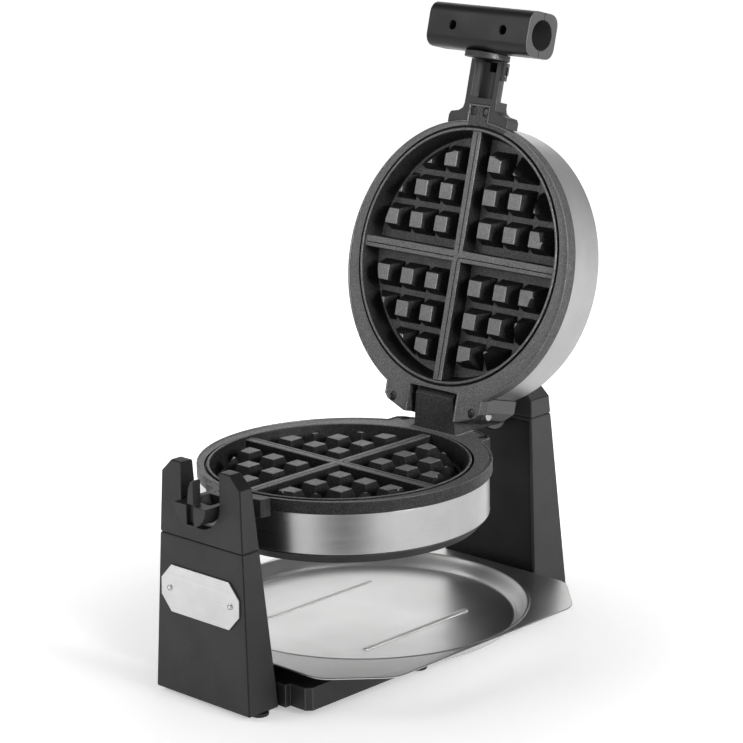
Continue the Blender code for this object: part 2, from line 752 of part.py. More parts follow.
def nameplate():
    """Blank elongated octagon, lying on the front face's slope."""
    long_half, short_half, side_z, top_z = 0.041, 0.0305, 0.0065, 0.018
    outline = [(long_half, side_z), (short_half, top_z), (-short_half, top_z),
               (-long_half, side_z), (-long_half, -side_z), (-short_half, -top_z),
               (short_half, -top_z), (long_half, -side_z)]
    middle = -0.0714
    thick, stand_off = 0.0012, GAP
    sections = []
    for lift in (stand_off, stand_off + thick):
        ring = []
        for x, z in outline:
            height = middle + z
            ring.append((x, between(FRONT_OUTER, height) - lift, height))
        sections.append(ring)
    plate = lofted(sections)
    for side in (-1, 1):
        hole = rod((side * 0.032, middle), 0.0016, -0.16, -0.14, "y", sides=12)
        plate = combine(plate, hole)
    return plate


def rivet(side):
    """Round-headed rivet in a hole of the nameplate."""
    x, z = side * 0.032, -0.0714
    face = between(FRONT_OUTER, z) - GAP
    profile = [(0.0, 0.0), (0.0013, 0.0), (0.0013, 0.0015), (0.0024, 0.0015),
               (0.0018, 0.0024), (0.0, 0.0027)]
    shape = turned(profile, (0.0, 0.0), 12, closed=False)
    for vert in shape.verts:
        across, up, out = vert.co
        vert.co = Vector((x + across, face - out, z + up))
    return shape


def seated(shape, x, height):
    """Move a shape drawn outwards along +Y onto the rear upright's outer face."""
    slope = math.atan((REAR_OUTER[0] - REAR_OUTER[1]) / (UPRIGHT_SHOULDER - UPRIGHT_LOW))
    turn = Matrix.Rotation(slope, 4, "X")
    place = Matrix.Translation((x, between(REAR_OUTER, height), height))
    bmesh.ops.transform(shape, matrix=place @ turn, verts=shape.verts)
    return shape


def rear_shell():
    """Lower part of the rear upright, with the holes for what sits on its outer face."""
    shell = upright_shell(REAR_OUTER, REAR_INNER, UPRIGHT_LOW, REAR_SEAM)
    shell = combine(shell, rod((0, 0), BUSH_RADIUS + GAP, 0.16, 0.186, "y", sides=32))
    shell = combine(shell, rod((0, 0), SHAFT_RADIUS + 0.001, 0.18, 0.1957, "y", sides=24))
    holes = [(GLAND_X, GLAND_Z, 0.0063), (0.0, KNOB_Z, 0.0063)]
    holes += [(x, LAMP_Z, 0.0033) for x in LAMP_XS]
    for x, height, radius in holes:
        drill = rod((0, 0), radius, -0.012, 0.010, "y", sides=20)
        shell = combine(shell, seated(drill, x, height))
    return shell


def rear_panel():
    panel = inner_panel(REAR_INNER, -1, UPRIGHT_LOW, REAR_SEAM)
    return combine(panel, rod((0, 0), BUSH_RADIUS + GAP, 0.15, 0.19, "y", sides=32))


def rear_cap():
    """Top of the rear upright, closed over the pivot."""
    cap = bevelled(upright(REAR_OUTER, REAR_INNER, REAR_SEAM + GAP, UPRIGHT_TOP), 0.0015)
    journal = rod((0, 0), BUSH_RADIUS + GAP, 0.16, 0.186, "y", sides=32)
    cap = combine(cap, journal)
    return combine(cap, rod((0, 0), SHAFT_RADIUS + 0.001, 0.18, 0.1957, "y", sides=24))


def pivot_bush():
    profile = [(SHAFT_RADIUS + GAP, 0.1757), (BUSH_RADIUS, 0.1757), (BUSH_RADIUS, 0.1855),
               (SHAFT_RADIUS + GAP, 0.1855)]
    return spun_along_y(profile, 32, closed=True)


def spun_along_y(profile, steps, closed=False):
    """Spin an (r, y) profile about the Y axis."""
    shape = turned(profile, (0.0, 0.0), steps, closed)
    for vert in shape.verts:
        across, up, along = vert.co
        vert.co = Vector((across, along, up))
    return shape


def cord_gland():
    profile = [(0.0, -0.004), (0.0060, -0.004), (0.0060, GAP), (0.0085, 2 * GAP),
               (0.0080, 0.004), (0.0055, 0.009), (0.0038, 0.009), (0.0038, 0.002),
               (0.0, 0.002)]
    return seated(spun_along_y(profile, 20), GLAND_X, GLAND_Z)


def control_bezel():
    """Ring round the browning knob on the rear upright's outer face."""
    profile = [(0.0110, GAP), (0.0250, GAP), (0.0240, 0.0025), (0.0110, 0.0025)]
    return seated(spun_along_y(profile, 32, closed=True), 0.0, KNOB_Z)


def browning_knob():
    """Knob with a pointer rib and its spindle."""
    profile = [(0.0, -0.008), (0.0060, -0.008), (0.0060, 0.0028), (0.0200, 0.0028),
               (0.0188, 0.0140), (0.0, 0.0140)]
    knob = spun_along_y(profile, 32)
    rib = box((-0.0014, 0.0014), (0.010, 0.0160), (0.0, 0.0175))
    return seated(combine(knob, rib, "UNION"), 0.0, KNOB_Z)


def lamp(x):
    profile = [(0.0, -0.006), (0.0030, -0.006), (0.0030, 0.0008), (0.0020, 0.0018),
               (0.0, 0.0020)]
    return seated(spun_along_y(profile, 16), x, LAMP_Z)


def base_deck():
    """Moulded deck between the uprights, hollow from below."""
    outline = [(-NECK_HALF, NECK_FRONT), (NECK_HALF, NECK_FRONT), (NECK_HALF, DECK_FRONT),
               (DECK_HALF - 0.004, DECK_FRONT), (DECK_HALF, DECK_FRONT + 0.004),
               (DECK_HALF, DECK_REAR - 0.004), (DECK_HALF - 0.004, DECK_REAR),
               (-DECK_HALF + 0.004, DECK_REAR), (-DECK_HALF, DECK_REAR - 0.004),
               (-DECK_HALF, DECK_FRONT + 0.004), (-DECK_HALF + 0.004, DECK_FRONT),
               (-NECK_HALF, DECK_FRONT)]
    deck = prism(outline, DECK_LOW, DECK_TOP)
    hollow = box((-DECK_HALF + WALL, DECK_HALF - WALL), (DECK_FRONT + WALL, DECK_REAR - WALL),
                 (DECK_LOW - 0.001, DECK_TOP - WALL))
    return combine(deck, hollow)


def base_plate():
    inset = WALL + GAP
    return box((-DECK_HALF + inset, DECK_HALF - inset),
               (DECK_FRONT + inset, DECK_REAR - inset), (DECK_LOW, DECK_LOW + 0.002))


def foot(place):
    x, y, top = place
    low = -PARTING_HEIGHT
    profile = [(0.0, low), (FOOT_RADIUS - 0.0008, low), (FOOT_RADIUS, low + 0.0008),
               (FOOT_RADIUS, top - GAP), (0.0, top - GAP)]
    return turned(profile, (x, y), 16, closed=False)


def rounded(outline, radius, steps=3):
    """Round every corner of a closed outline."""
    points = []
    count = len(outline)
    for i, corner in enumerate(outline):
        here = Vector(corner)
        back = (Vector(outline[i - 1]) - here).normalized()
        ahead = (Vector(outline[(i + 1) % count]) - here).normalized()
        reach = radius / math.tan(0.5 * back.angle(ahead))
        for k in range(steps + 1):
            t = k / steps
            start, end = here + back * reach, here + ahead * reach
            bend = start * (1 - t) ** 2 + here * 2 * t * (1 - t) + end * t ** 2
            points.append((bend.x, bend.y))
    return points


def tray_outline():
    x, front, rear, cut = TRAY_HALF, TRAY_FRONT, TRAY_REAR, TRAY_CORNER
    corners = [(x, front + cut), (x, rear - cut), (x - cut, rear), (cut - x, rear),
               (-x, rear - cut), (-x, front + cut), (cut - x, front), (x - cut, front)]
    return rounded(corners, 0.022)


def drip_tray():
    """Pressed sheet with a flat shelf, a round well and two stiffening ribs."""
    floor_top, floor_low = TRAY_FLOOR_Z, TRAY_FLOOR_Z - TRAY_SHEET
    shelf_low = TRAY_RIM_Z - TRAY_SHEET
    tray = prism(tray_outline(), shelf_low, TRAY_RIM_Z)
    outside = rod((0, TRAY_CENTRE_Y), WELL_FLOOR_RADIUS + 0.0012, floor_low,
                  TRAY_RIM_Z - 0.0004, sides=CIRCLE, far_radius=WELL_RIM_RADIUS + 0.0012)
    tray = combine(tray, outside, "UNION")
    slope = (WELL_RIM_RADIUS - WELL_FLOOR_RADIUS) / (TRAY_RIM_Z - floor_top)
    hollow = rod((0, TRAY_CENTRE_Y), WELL_FLOOR_RADIUS, floor_top, TRAY_RIM_Z + 0.001,
                 sides=CIRCLE, far_radius=WELL_RIM_RADIUS + 0.001 * slope)
    tray = combine(tray, hollow)
    for side in (-1, 1):
        low, high = floor_top - 0.0005, floor_top + 0.0014
        rib = rounded_box((side * RIB_X - 0.0022, side * RIB_X + 0.0022), (-0.031, 0.086),
                          (low, high), 0.0021)
        tray = combine(tray, rib, "UNION")
    return tray


# ---------------------------------------------------------------- assembly

def build_stand(root):
    put("front_upright", upright_shell(FRONT_OUTER, FRONT_INNER, UPRIGHT_LOW, FRONT_SEAM),
        "black_plastic", root)
    put("front_inner_panel", inner_panel(FRONT_INNER, 1, UPRIGHT_LOW, FRONT_SEAM),
        "black_plastic", root)
    put("front_cradle_cap", front_cap(), "black_plastic", root)
    put("cradle_liner", cradle_liner(), "dark_trim", root)
    put("nameplate", nameplate(), "steel", root)
    put("nameplate_rivet_left", rivet(-1), "steel", root)
    put("nameplate_rivet_right", rivet(1), "steel", root)
    put("rear_upright", rear_shell(), "black_plastic", root)
    put("rear_inner_panel", rear_panel(), "black_plastic", root)
    put("rear_pivot_cap", rear_cap(), "black_plastic", root)
    put("rear_pivot_bush", pivot_bush(), "dark_trim", root)
    put("cord_gland", cord_gland(), "rubber", root)
    put("control_bezel", control_bezel(), "steel", root)
    put("power_lamp", lamp(LAMP_XS[0]), "red_lamp", root)
    put("ready_lamp", lamp(LAMP_XS[1]), "green_lamp", root)
    put("base_deck", base_deck(), "black_plastic", root)
    put("base_plate", base_plate(), "black_plastic", root)
    feet = {"front_foot_left": (-0.044, -0.132, UPRIGHT_LOW),
            "front_foot_right": (0.044, -0.132, UPRIGHT_LOW),
            "rear_foot_left": (-0.044, 0.190, UPRIGHT_LOW),
            "rear_foot_right": (0.044, 0.190, UPRIGHT_LOW),
            "deck_foot_left": (-0.067, 0.013, DECK_LOW),
            "deck_foot_right": (0.067, 0.013, DECK_LOW)}
    for name, place in feet.items():
        put(name, foot(place), "rubber", root)


def build_head(head):
    half_housing("lower", head, False, BLOCK_HALF + 0.0008, 0.1062)
    put("hinge_block", hinge_block(), "black_plastic", head)
    put("hinge_pin", hinge_pin(), "steel", head)
    put("pivot_shaft", pivot_shaft(), "black_plastic", head)
    put("lower_stem", lower_stem(), "black_plastic", head)


def build_lid(lid):
    half_housing("upper", lid, True, 0.0245, NOTCH_FRONT)
    put("hinge_lug_left", lug(-1), "steel", lid)
    put("hinge_lug_right", lug(1), "steel", lid)
    put("handle_stem", handle_stem(), "black_plastic", lid)
    put("handle_collar", handle_collar(), "black_plastic", lid)
    put("latch_clip", latch_clip(), "black_plastic", lid)
    put("grip_front_shell", grip_shell(True), "black_plastic", lid)
    put("grip_rear_shell", grip_shell(False), "black_plastic", lid)
    put("grip_screw_left", grip_screw(-1), "screw", lid)
    put("grip_screw_right", grip_screw(1), "screw", lid)


def main():
    for old in list(bpy.data.objects):
        bpy.data.objects.remove(old, do_unlink=True)
    stand = pivot("stand", (0.0, 0.0, 0.0))
    stand.location = (0.0, CENTRE_SHIFT_Y, PARTING_HEIGHT)
    head = pivot("head_pivot", (0.0, 0.0, 0.0), stand)
    lid = pivot("lid_pivot", (0.0, HINGE_Y, HINGE_Z), head, -LID_OPEN)
    tray = pivot("tray_runner", (0.0, TRAY_CENTRE_Y, TRAY_RIM_Z), stand)
    knob = pivot("knob_pivot", (0.0, between(REAR_OUTER, KNOB_Z), KNOB_Z), stand)
    build_stand(stand)
    build_head(head)
    build_lid(lid)
    put("drip_tray", drip_tray(), "tray_steel", tray)
    put("browning_knob", browning_knob(), "black_plastic", knob)


main()
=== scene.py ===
"""Looks of the rotating waffle maker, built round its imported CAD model."""
import json
import math

import bmesh
import bpy
from mathutils import Matrix, Vector

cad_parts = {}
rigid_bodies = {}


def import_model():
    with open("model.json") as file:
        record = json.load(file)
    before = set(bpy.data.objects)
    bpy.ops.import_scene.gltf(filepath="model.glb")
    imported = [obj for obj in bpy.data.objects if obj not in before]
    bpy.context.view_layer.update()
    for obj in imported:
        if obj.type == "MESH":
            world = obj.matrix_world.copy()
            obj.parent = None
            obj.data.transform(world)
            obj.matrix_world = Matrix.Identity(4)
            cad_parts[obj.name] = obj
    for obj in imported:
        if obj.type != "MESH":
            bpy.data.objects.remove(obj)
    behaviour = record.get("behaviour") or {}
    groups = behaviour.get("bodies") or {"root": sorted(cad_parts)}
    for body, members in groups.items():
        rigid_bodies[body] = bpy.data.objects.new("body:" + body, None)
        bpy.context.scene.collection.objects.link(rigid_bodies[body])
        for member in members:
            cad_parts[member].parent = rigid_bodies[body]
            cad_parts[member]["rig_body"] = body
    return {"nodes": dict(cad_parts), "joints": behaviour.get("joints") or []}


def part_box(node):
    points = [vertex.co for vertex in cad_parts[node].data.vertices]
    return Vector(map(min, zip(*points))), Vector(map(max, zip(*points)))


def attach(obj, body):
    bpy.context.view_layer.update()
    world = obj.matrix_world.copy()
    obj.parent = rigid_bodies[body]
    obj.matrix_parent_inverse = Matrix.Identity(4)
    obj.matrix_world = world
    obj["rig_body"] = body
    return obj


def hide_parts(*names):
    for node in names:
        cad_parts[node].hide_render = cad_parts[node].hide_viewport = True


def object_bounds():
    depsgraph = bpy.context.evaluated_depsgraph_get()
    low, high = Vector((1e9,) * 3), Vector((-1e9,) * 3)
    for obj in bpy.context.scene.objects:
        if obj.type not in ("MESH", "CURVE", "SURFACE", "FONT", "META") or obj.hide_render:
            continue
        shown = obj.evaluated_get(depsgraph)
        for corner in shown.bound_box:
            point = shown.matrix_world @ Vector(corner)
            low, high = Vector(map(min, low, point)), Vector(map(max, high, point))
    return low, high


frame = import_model()
CAD_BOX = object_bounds()
NODES = frame["nodes"]


def centre_of(node):
    low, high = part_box(node)
    return (low + high) / 2


def joint(name):
    return next(j for j in frame["joints"] if j["name"] == name)


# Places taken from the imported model.
PIN = centre_of("hinge_pin")
LID_OPEN = math.radians(max(joint("lid_hinge")["range_deg"], key=abs))
CAVITY = Vector((0.0, centre_of("lower_face_cover").y - 0.0059,
                 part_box("lower_waffle_plate")[1].z + 0.00015))
BODY_OF = {"lower": "head", "upper": "lid"}


# ---------------------------------------------------------------- materials

class Finish:
    """A material's node tree, with short ways to add and join nodes."""

    def __init__(self, name, **inputs):
        self.material = bpy.data.materials.new(name)
        self.material.use_nodes = True
        self.tree = self.material.node_tree
        self.shader = self.tree.nodes["Principled BSDF"]
        for socket, value in inputs.items():
            self.set(self.shader, socket.replace("_", " "), value)

    @staticmethod
    def set(node, socket, value):
        target = node.inputs[socket]
        if hasattr(target.default_value, "__len__") and len(target.default_value) == 4:
            value = (*value, 1.0)
        target.default_value = value

    def add(self, kind, **settings):
        node = self.tree.nodes.new(kind)
        for key, value in settings.items():
            setattr(node, key, value)
        return node

    def join(self, source, target):
        self.tree.links.new(source, target)

    def place(self, scale, turn=(0.0, 0.0, 0.0)):
        """Object coordinates, turned back by an angle and stretched."""
        where = self.add("ShaderNodeTexCoord")
        mapping = self.add("ShaderNodeMapping", vector_type="TEXTURE")
        mapping.inputs["Rotation"].default_value = turn
        mapping.inputs["Scale"].default_value = [1.0 / s for s in scale]
        self.join(where.outputs["Object"], mapping.inputs["Vector"])
        return mapping.outputs["Vector"]

    def noise(self, scale, detail=3.0, rough=0.5, turn=(0.0, 0.0, 0.0)):
        if not hasattr(scale, "__len__"):
            scale = (scale, scale, scale)
        node = self.add("ShaderNodeTexNoise")
        node.inputs["Scale"].default_value = 1.0
        node.inputs["Detail"].default_value = detail
        node.inputs["Roughness"].default_value = rough
        self.join(self.place(scale, turn), node.inputs["Vector"])
        return node.outputs["Fac"]

    def spots(self, scale, size):
        """Small round flecks: 1 inside a fleck, 0 outside."""
        cells = self.add("ShaderNodeTexVoronoi")
        cells.inputs["Scale"].default_value = 1.0
        self.join(self.place((scale, scale, scale)), cells.inputs["Vector"])
        return self.span(cells.outputs["Distance"], size, size * 0.5, 0.0, 1.0)

    def span(self, source, low, high, to_low, to_high):
        node = self.add("ShaderNodeMapRange")
        self.join(source, node.inputs["Value"])
        for socket, value in (("From Min", low), ("From Max", high),
                              ("To Min", to_low), ("To Max", to_high)):
            node.inputs[socket].default_value = value
        return node.outputs["Result"]

    def mix(self, share, first, second):
        node = self.add("ShaderNodeMix", data_type="RGBA")
        self.join(share, node.inputs[0])
        for socket, colour in ((6, first), (7, second)):
            if hasattr(colour, "links"):
                self.join(colour, node.inputs[socket])
            else:
                node.inputs[socket].default_value = (*colour, 1.0)
        return node.outputs[2]

    def colour(self, source):
        self.join(source, self.shader.inputs["Base Color"])

    def roughness(self, source):
        self.join(source, self.shader.inputs["Roughness"])

    def bumps(self, *layers):
        """Stack (height, depth in metres) bump layers."""
        normal = None
        for height, depth in layers:
            bump = self.add("ShaderNodeBump")
            bump.inputs["Strength"].default_value = 1.0
            bump.inputs["Distance"].default_value = depth
            self.join(height, bump.inputs["Height"])
            if normal:
                self.join(normal, bump.inputs["Normal"])
            normal = bump.outputs["Normal"]
        self.join(normal, self.shader.inputs["Normal"])


def tinted(colour, factor):
    return tuple(c * factor for c in colour)


def moulded(name, colour, rough, grain=900.0, depth=0.00006, specular=0.5):
    """Spark-eroded moulded plastic: fine grain, faint flow marks and handling shine."""
    finish = Finish(name, Specular_IOR_Level=specular)
    drift = finish.noise(14.0, 2.0)
    fine = finish.noise(grain, 4.0, 0.6)
    tone = finish.mix(drift, tinted(colour, 0.86), tinted(colour, 1.18))
    flecked = finish.mix(finish.span(fine, 0.42, 0.66, 0.0, 0.35), tone, tinted(colour, 1.9))
    finish.colour(flecked)
    worn = finish.noise(38.0, 3.0)
    finish.roughness(finish.span(worn, 0.3, 0.7, rough - 0.07, rough + 0.08))
    finish.bumps((fine, depth), (finish.noise(grain * 0.35, 2.0), depth * 1.2))
    return finish.material


def coated(name, colour, rough, fleck=0.30, share=0.35, specular=0.35):
    """Speckled non-stick coating over cast aluminium."""
    finish = Finish(name, Specular_IOR_Level=specular)
    drift = finish.noise(30.0, 3.0)
    tone = finish.mix(drift, tinted(colour, 0.75), tinted(colour, 1.25))
    light = (fleck, fleck, fleck)
    grain = finish.span(finish.noise(760.0, 3.0, 0.7), 0.48, 0.66, 0.0, 0.6 * share)
    dusted = finish.mix(grain, tone, light)
    small = finish.span(finish.spots(1000.0, 0.42), 0.0, 1.0, 0.0, share)
    finish.colour(finish.mix(small, dusted, light))
    finish.roughness(finish.span(finish.noise(420.0, 2.0), 0.3, 0.7, rough - 0.10, rough + 0.14))
    finish.bumps((finish.noise(760.0, 3.0, 0.6), 0.00024), (finish.noise(160.0, 2.0), 0.00015))
    return finish.material


def brushed(name, colour, rough, lines, turn=(0.0, 0.0, 0.0), depth=0.0000015, mottle=0.10):
    """Brushed stainless steel; lines is how fine the brushing is along each axis."""
    finish = Finish(name, Metallic=1.0, Specular_IOR_Level=0.5)
    streaks = finish.noise(lines, 5.0, 0.65, turn)
    cloud = finish.noise(26.0, 4.0, 0.6)
    tone = finish.mix(streaks, tinted(colour, 1.0 - mottle), tinted(colour, 1.0 + mottle * 0.7))
    finish.colour(finish.mix(finish.span(cloud, 0.35, 0.7, 0.0, 0.5), tone,
                             tinted(colour, 0.70)))
    finish.roughness(finish.span(streaks, 0.3, 0.7, rough - 0.03, rough + 0.05))
    finish.bumps((streaks, depth))
    return finish.material


def satin(name, colour, rough):
    """Rolled sheet steel: even satin with faint clouds and a very fine grain."""
    finish = Finish(name, Metallic=1.0)
    cloud = finish.noise(22.0, 5.0, 0.6)
    grain = finish.noise((260.0, 2600.0, 2600.0), 3.0, 0.6)
    tone = finish.mix(cloud, tinted(colour, 0.94), tinted(colour, 1.05))
    finish.colour(finish.mix(finish.span(grain, 0.3, 0.7, 0.0, 0.35), tone,
                             tinted(colour, 0.86)))
    finish.roughness(finish.span(cloud, 0.3, 0.7, rough - 0.03, rough + 0.05))
    finish.bumps((finish.noise(30.0, 2.0), 0.00001))
    return finish.material


def plain_metal(name, colour, rough, scale=500.0, depth=0.00002):
    """Turned or plated metal with fine handling marks."""
    finish = Finish(name, Metallic=1.0)
    marks = finish.noise(scale, 4.0, 0.6)
    finish.colour(finish.mix(marks, tinted(colour, 0.8), tinted(colour, 1.15)))
    finish.roughness(finish.span(finish.noise(120.0, 3.0), 0.3, 0.7, rough - 0.06, rough + 0.08))
    finish.bumps((marks, depth))
    return finish.material


def lens(name, colour, glow):
    """Tinted indicator lens with a faint inner pattern."""
    finish = Finish(name, Roughness=0.12, Coat_Weight=0.6, Coat_Roughness=0.05)
    cells = finish.spots(1400.0, 0.55)
    finish.colour(finish.mix(cells, tinted(colour, 0.55), colour))
    finish.shader.inputs["Emission Color"].default_value = (*colour, 1.0)
    finish.shader.inputs["Emission Strength"].default_value = glow
    finish.bumps((cells, 0.00003))
    return finish.material


LID_TURN = (-LID_OPEN, 0.0, 0.0)
FINISHES = {
    "case": moulded("case_plastic", (0.0195, 0.0195, 0.0198), 0.48, specular=0.30),
    # Darker copy of the case plastic for bevel faces, the cradle's flank and slopes and the
    # rivet grooves: painted shade.
    "case_painted_shade": moulded("case_plastic_painted_shade", (0.007, 0.007, 0.0072), 0.50, specular=0.2),
    # Darker copy of the case plastic for the inner panels: painted shade.
    "inner": moulded("inner_panel_painted_shade", (0.008, 0.008, 0.0083), 0.50, specular=0.2),
    "deck": moulded("deck_plastic", (0.009, 0.009, 0.0093), 0.42, specular=0.4),
    # Lighter copy of the deck plastic for bevel faces: painted highlight.
    "deck_painted_highlight": moulded("deck_plastic_painted_highlight", (0.030, 0.030, 0.031), 0.40, specular=0.5),
    "handle": moulded("handle_plastic", (0.008, 0.008, 0.0084), 0.38, 1100.0, 0.00004, 0.22),
    # Lighter copy of the handle plastic for the grip's end rings and bores: painted light.
    "handle_painted_light": moulded("handle_painted_light_plastic", (0.020, 0.020, 0.0203), 0.5, 1100.0, 0.00004),
    "stem": moulded("stem_plastic", (0.014, 0.014, 0.0143), 0.46, 1100.0, 0.00006, 0.35),
    "hinge": coated("hinge_coating", (0.020, 0.020, 0.0205), 0.55, 0.16, 0.30),
    # Non-stick coating and its copies: the upper rim, valley floors and stud tops are lighter
    # copies, painted light; the thin lines on lips, bead and stud corners are painted
    # highlights.
    "nonstick": coated("nonstick_coating", (0.005, 0.005, 0.0052), 0.52, 0.08, 0.20, 0.12),
    "rim": coated("upper_rim_painted_light_coating", (0.013, 0.013, 0.0133), 0.46, 0.24, 0.26),
    "lower_rim": coated("lower_rim_coating", (0.005, 0.005, 0.0052), 0.46, 0.16, 0.18, 0.25),
    "valley_painted_light": coated("valley_painted_light_coating", (0.045, 0.045, 0.046), 0.48, 0.28, 0.30),
    "stud_top_painted_light": coated("stud_top_painted_light_coating", (0.105, 0.105, 0.106), 0.46, 0.34, 0.35),
    "painted_highlight_line": coated("painted_highlight_line_coating", (0.070, 0.070, 0.071), 0.42, 0.34, 0.30),
    "band": brushed("band_steel", (0.46, 0.46, 0.46), 0.30, (16.0, 16.0, 1500.0)),
    "lid_band": brushed("lid_band_steel", (0.48, 0.48, 0.48), 0.34, (16.0, 16.0, 1500.0),
                        LID_TURN),
    "cover": brushed("cover_steel", (0.60, 0.60, 0.60), 0.30, (2200.0, 14.0, 14.0)),
    "lid_cover": brushed("lid_cover_steel", (0.60, 0.60, 0.60), 0.30, (2200.0, 14.0, 14.0)),
    "trim": plain_metal("edge_trim", (0.16, 0.16, 0.16), 0.42),
    "tray": satin("tray_satin_steel", (0.60, 0.60, 0.597), 0.33),
    # Brighter copy of the tray steel for the ribs: painted highlight.
    "rib": satin("rib_painted_highlight_steel", (0.92, 0.92, 0.915), 0.50),
    "plate": brushed("nameplate_steel", (0.62, 0.62, 0.62), 0.36, (14.0, 900.0, 900.0),
                     mottle=0.22),
    "rivet": plain_metal("rivet_steel", (0.66, 0.66, 0.66), 0.40),
    "bright": plain_metal("plated_steel", (0.70, 0.70, 0.69), 0.22),
    "screw": plain_metal("screw_steel", (0.06, 0.06, 0.062), 0.42),
    "pin": plain_metal("hinge_pin_steel", (0.34, 0.34, 0.34), 0.48),
    "liner": plain_metal("liner_metal", (0.17, 0.17, 0.17), 0.40),
    "heater": plain_metal("heater_sheath", (0.28, 0.25, 0.23), 0.55, 300.0, 0.00008),
    "lug": plain_metal("lug_casting", (0.10, 0.10, 0.10), 0.45, 700.0, 0.00006),
    "rubber": moulded("foot_rubber", (0.012, 0.012, 0.012), 0.75, 600.0, 0.0001),
    "red": lens("red_lens", (0.45, 0.015, 0.010), 0.10),
    "green": lens("green_lens", (0.02, 0.22, 0.035), 0.10),
}


# ---------------------------------------------------------------- mesh helpers

KEEP = -1                         # a bevelled edge's faces keep their neighbour's material
SEAM_REACH = 0.0012               # edges this close to a seam stay sharp
SEAM_MATCH = 0.0008               # corners this close to a seam are moved to close it


def settle(name, shape, body, finish, replaced=(), sharp=28.0):
    """Turn a bmesh in the row frame into a named piece that rides on a body."""
    bmesh.ops.recalc_face_normals(shape, faces=shape.faces)
    mesh = bpy.data.meshes.new(name)
    shape.to_mesh(mesh)
    shape.free()
    mesh.shade_smooth()
    mesh.set_sharp_from_angle(angle=math.radians(sharp))
    mesh.materials.append(FINISHES[finish])
    piece = bpy.data.objects.new(name, mesh)
    bpy.context.scene.collection.objects.link(piece)
    weighted = piece.modifiers.new("weighted_normals", "WEIGHTED_NORMAL")
    weighted.keep_sharp = True
    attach(piece, body)
    if replaced:
        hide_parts(*replaced)
    return piece


def welded(node):
    """A CAD node's mesh with its split corners joined and flat faces merged."""
    shape = bmesh.new()
    shape.from_mesh(NODES[node].data)
    bmesh.ops.remove_doubles(shape, verts=shape.verts, dist=2e-6)
    bmesh.ops.dissolve_limit(shape, angle_limit=math.radians(0.5), verts=shape.verts,
                             edges=shape.edges)
    return shape


def eased(shape, width, steep=30.0, seam=None, material=KEEP):
    """Round a solid's sharp edges, but not the level edges at a seam's height."""
    edges = []
    for edge in shape.edges:
        level = seam and all(abs(vert.co.z - seam) < SEAM_REACH for vert in edge.verts)
        sharp = len(edge.link_faces) == 2 and edge.calc_face_angle(0.0) > math.radians(steep)
        if sharp and not level:
            edges.append(edge)
    bmesh.ops.bevel(shape, geom=edges, offset=width, segments=2, profile=0.5,
                    affect="EDGES", clamp_overlap=False, material=material)
    return shape


# ---------------------------------------------------------------- moulded shells

SEAMS = {"front_upright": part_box("front_upright")[1].z,
         "front_cradle_cap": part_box("front_cradle_cap")[0].z,
         "rear_upright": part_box("rear_upright")[1].z,
         "rear_pivot_cap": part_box("rear_upright")[1].z}
SEAM_CLOSING = 0.0001             # how far each side moves
RECESS_HEIGHT = 0.02              # above the cradle cap's foot
# Bevel faces get a second finish: painted shade on the case, painted highlight on the deck.
PAINTED_EDGE_FINISHES = {"case": "case_painted_shade", "deck": "deck_painted_highlight"}
GRIP_AXIS = (centre_of("grip_front_shell") + centre_of("grip_rear_shell")) / 2
GRIP_EDGE = 0.0004
GRIP_END_DEPTH = 0.001
BORE_LIGHT_START = 0.6                    # share of the half length past which a bore gets painted light


def refined(node, finish, width):
    """Stand in for a CAD node with the same shape, its edges rounded; on case parts the rounded
    edges carry painted shade, on deck parts painted highlight.
    """
    source = NODES[node]
    seam = SEAMS.get(node)
    painted_edge = PAINTED_EDGE_FINISHES.get(finish)
    shape = welded(node)
    if seam:
        close_seam(shape, seam)
    # bevel faces take the painted shade or painted highlight copy where one is listed
    eased(shape, width, seam=seam, material=1 if painted_edge else KEEP)
    if node == "front_cradle_cap":
        shade_recess(shape)
    piece = settle(node + "_finished", shape, source["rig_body"], finish, (node,))
    if painted_edge:
        piece.data.materials.append(FINISHES[painted_edge])


def close_seam(shape, seam):
    """Leave only a hairline between two stacked shells."""
    shape.normal_update()
    for vert in shape.verts:
        if abs(vert.co.z - seam) < SEAM_MATCH:
            vert.co.z += SEAM_CLOSING if vert.normal.z > 0 else -SEAM_CLOSING


def shade_recess(shape):
    """Painted shade on the cradle's inner flank and the horns' sloping tops."""
    shape.normal_update()
    foot = SEAMS["front_cradle_cap"] + RECESS_HEIGHT
    for face in shape.faces:
        spot = face.calc_center_median()
        flank = face.normal.x > 0.8 and spot.x < 0 and spot.z > foot
        slope = face.normal.x > 0.3 and face.normal.z > 0.3
        if flank or slope:
            # these faces take the case's painted shade copy
            face.material_index = 1


def grip_ends():
    """Painted light on the faces at the ends of the bar handle and inside its bores."""
    for label in ("front", "rear"):
        node = f"grip_{label}_shell"
        low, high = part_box(node)
        shape = eased(welded(node), GRIP_EDGE)
        shape.normal_update()
        for face in shape.faces:
            x = face.calc_center_median().x
            ring = abs(face.normal.x) > 0.9 and min(x - low.x, high.x - x) < GRIP_END_DEPTH
            bore = abs(face.normal.x) < 0.2 and not on_skin(face)
            face.material_index = int(ring or (bore and abs(x) > BORE_LIGHT_START * high.x))
        piece = settle(node + "_finished", shape, "lid", "handle", (node,))
        piece.data.materials.append(FINISHES["handle_painted_light"])


def on_skin(face):
    """Whether a face of the grip belongs to its outer skin: it faces away from the axis."""
    out = face.calc_center_median() - GRIP_AXIS
    return out.y * face.normal.y + out.z * face.normal.z > 0


# ---------------------------------------------------------------- drawing helpers

def arc(centre, radius, start, end, steps):
    """Points on an arc; angles in degrees."""
    points = []
    for i in range(steps + 1):
        angle = math.radians(start + (end - start) * i / steps)
        points.append((centre[0] + radius * math.cos(angle),
                       centre[1] + radius * math.sin(angle)))
    return points


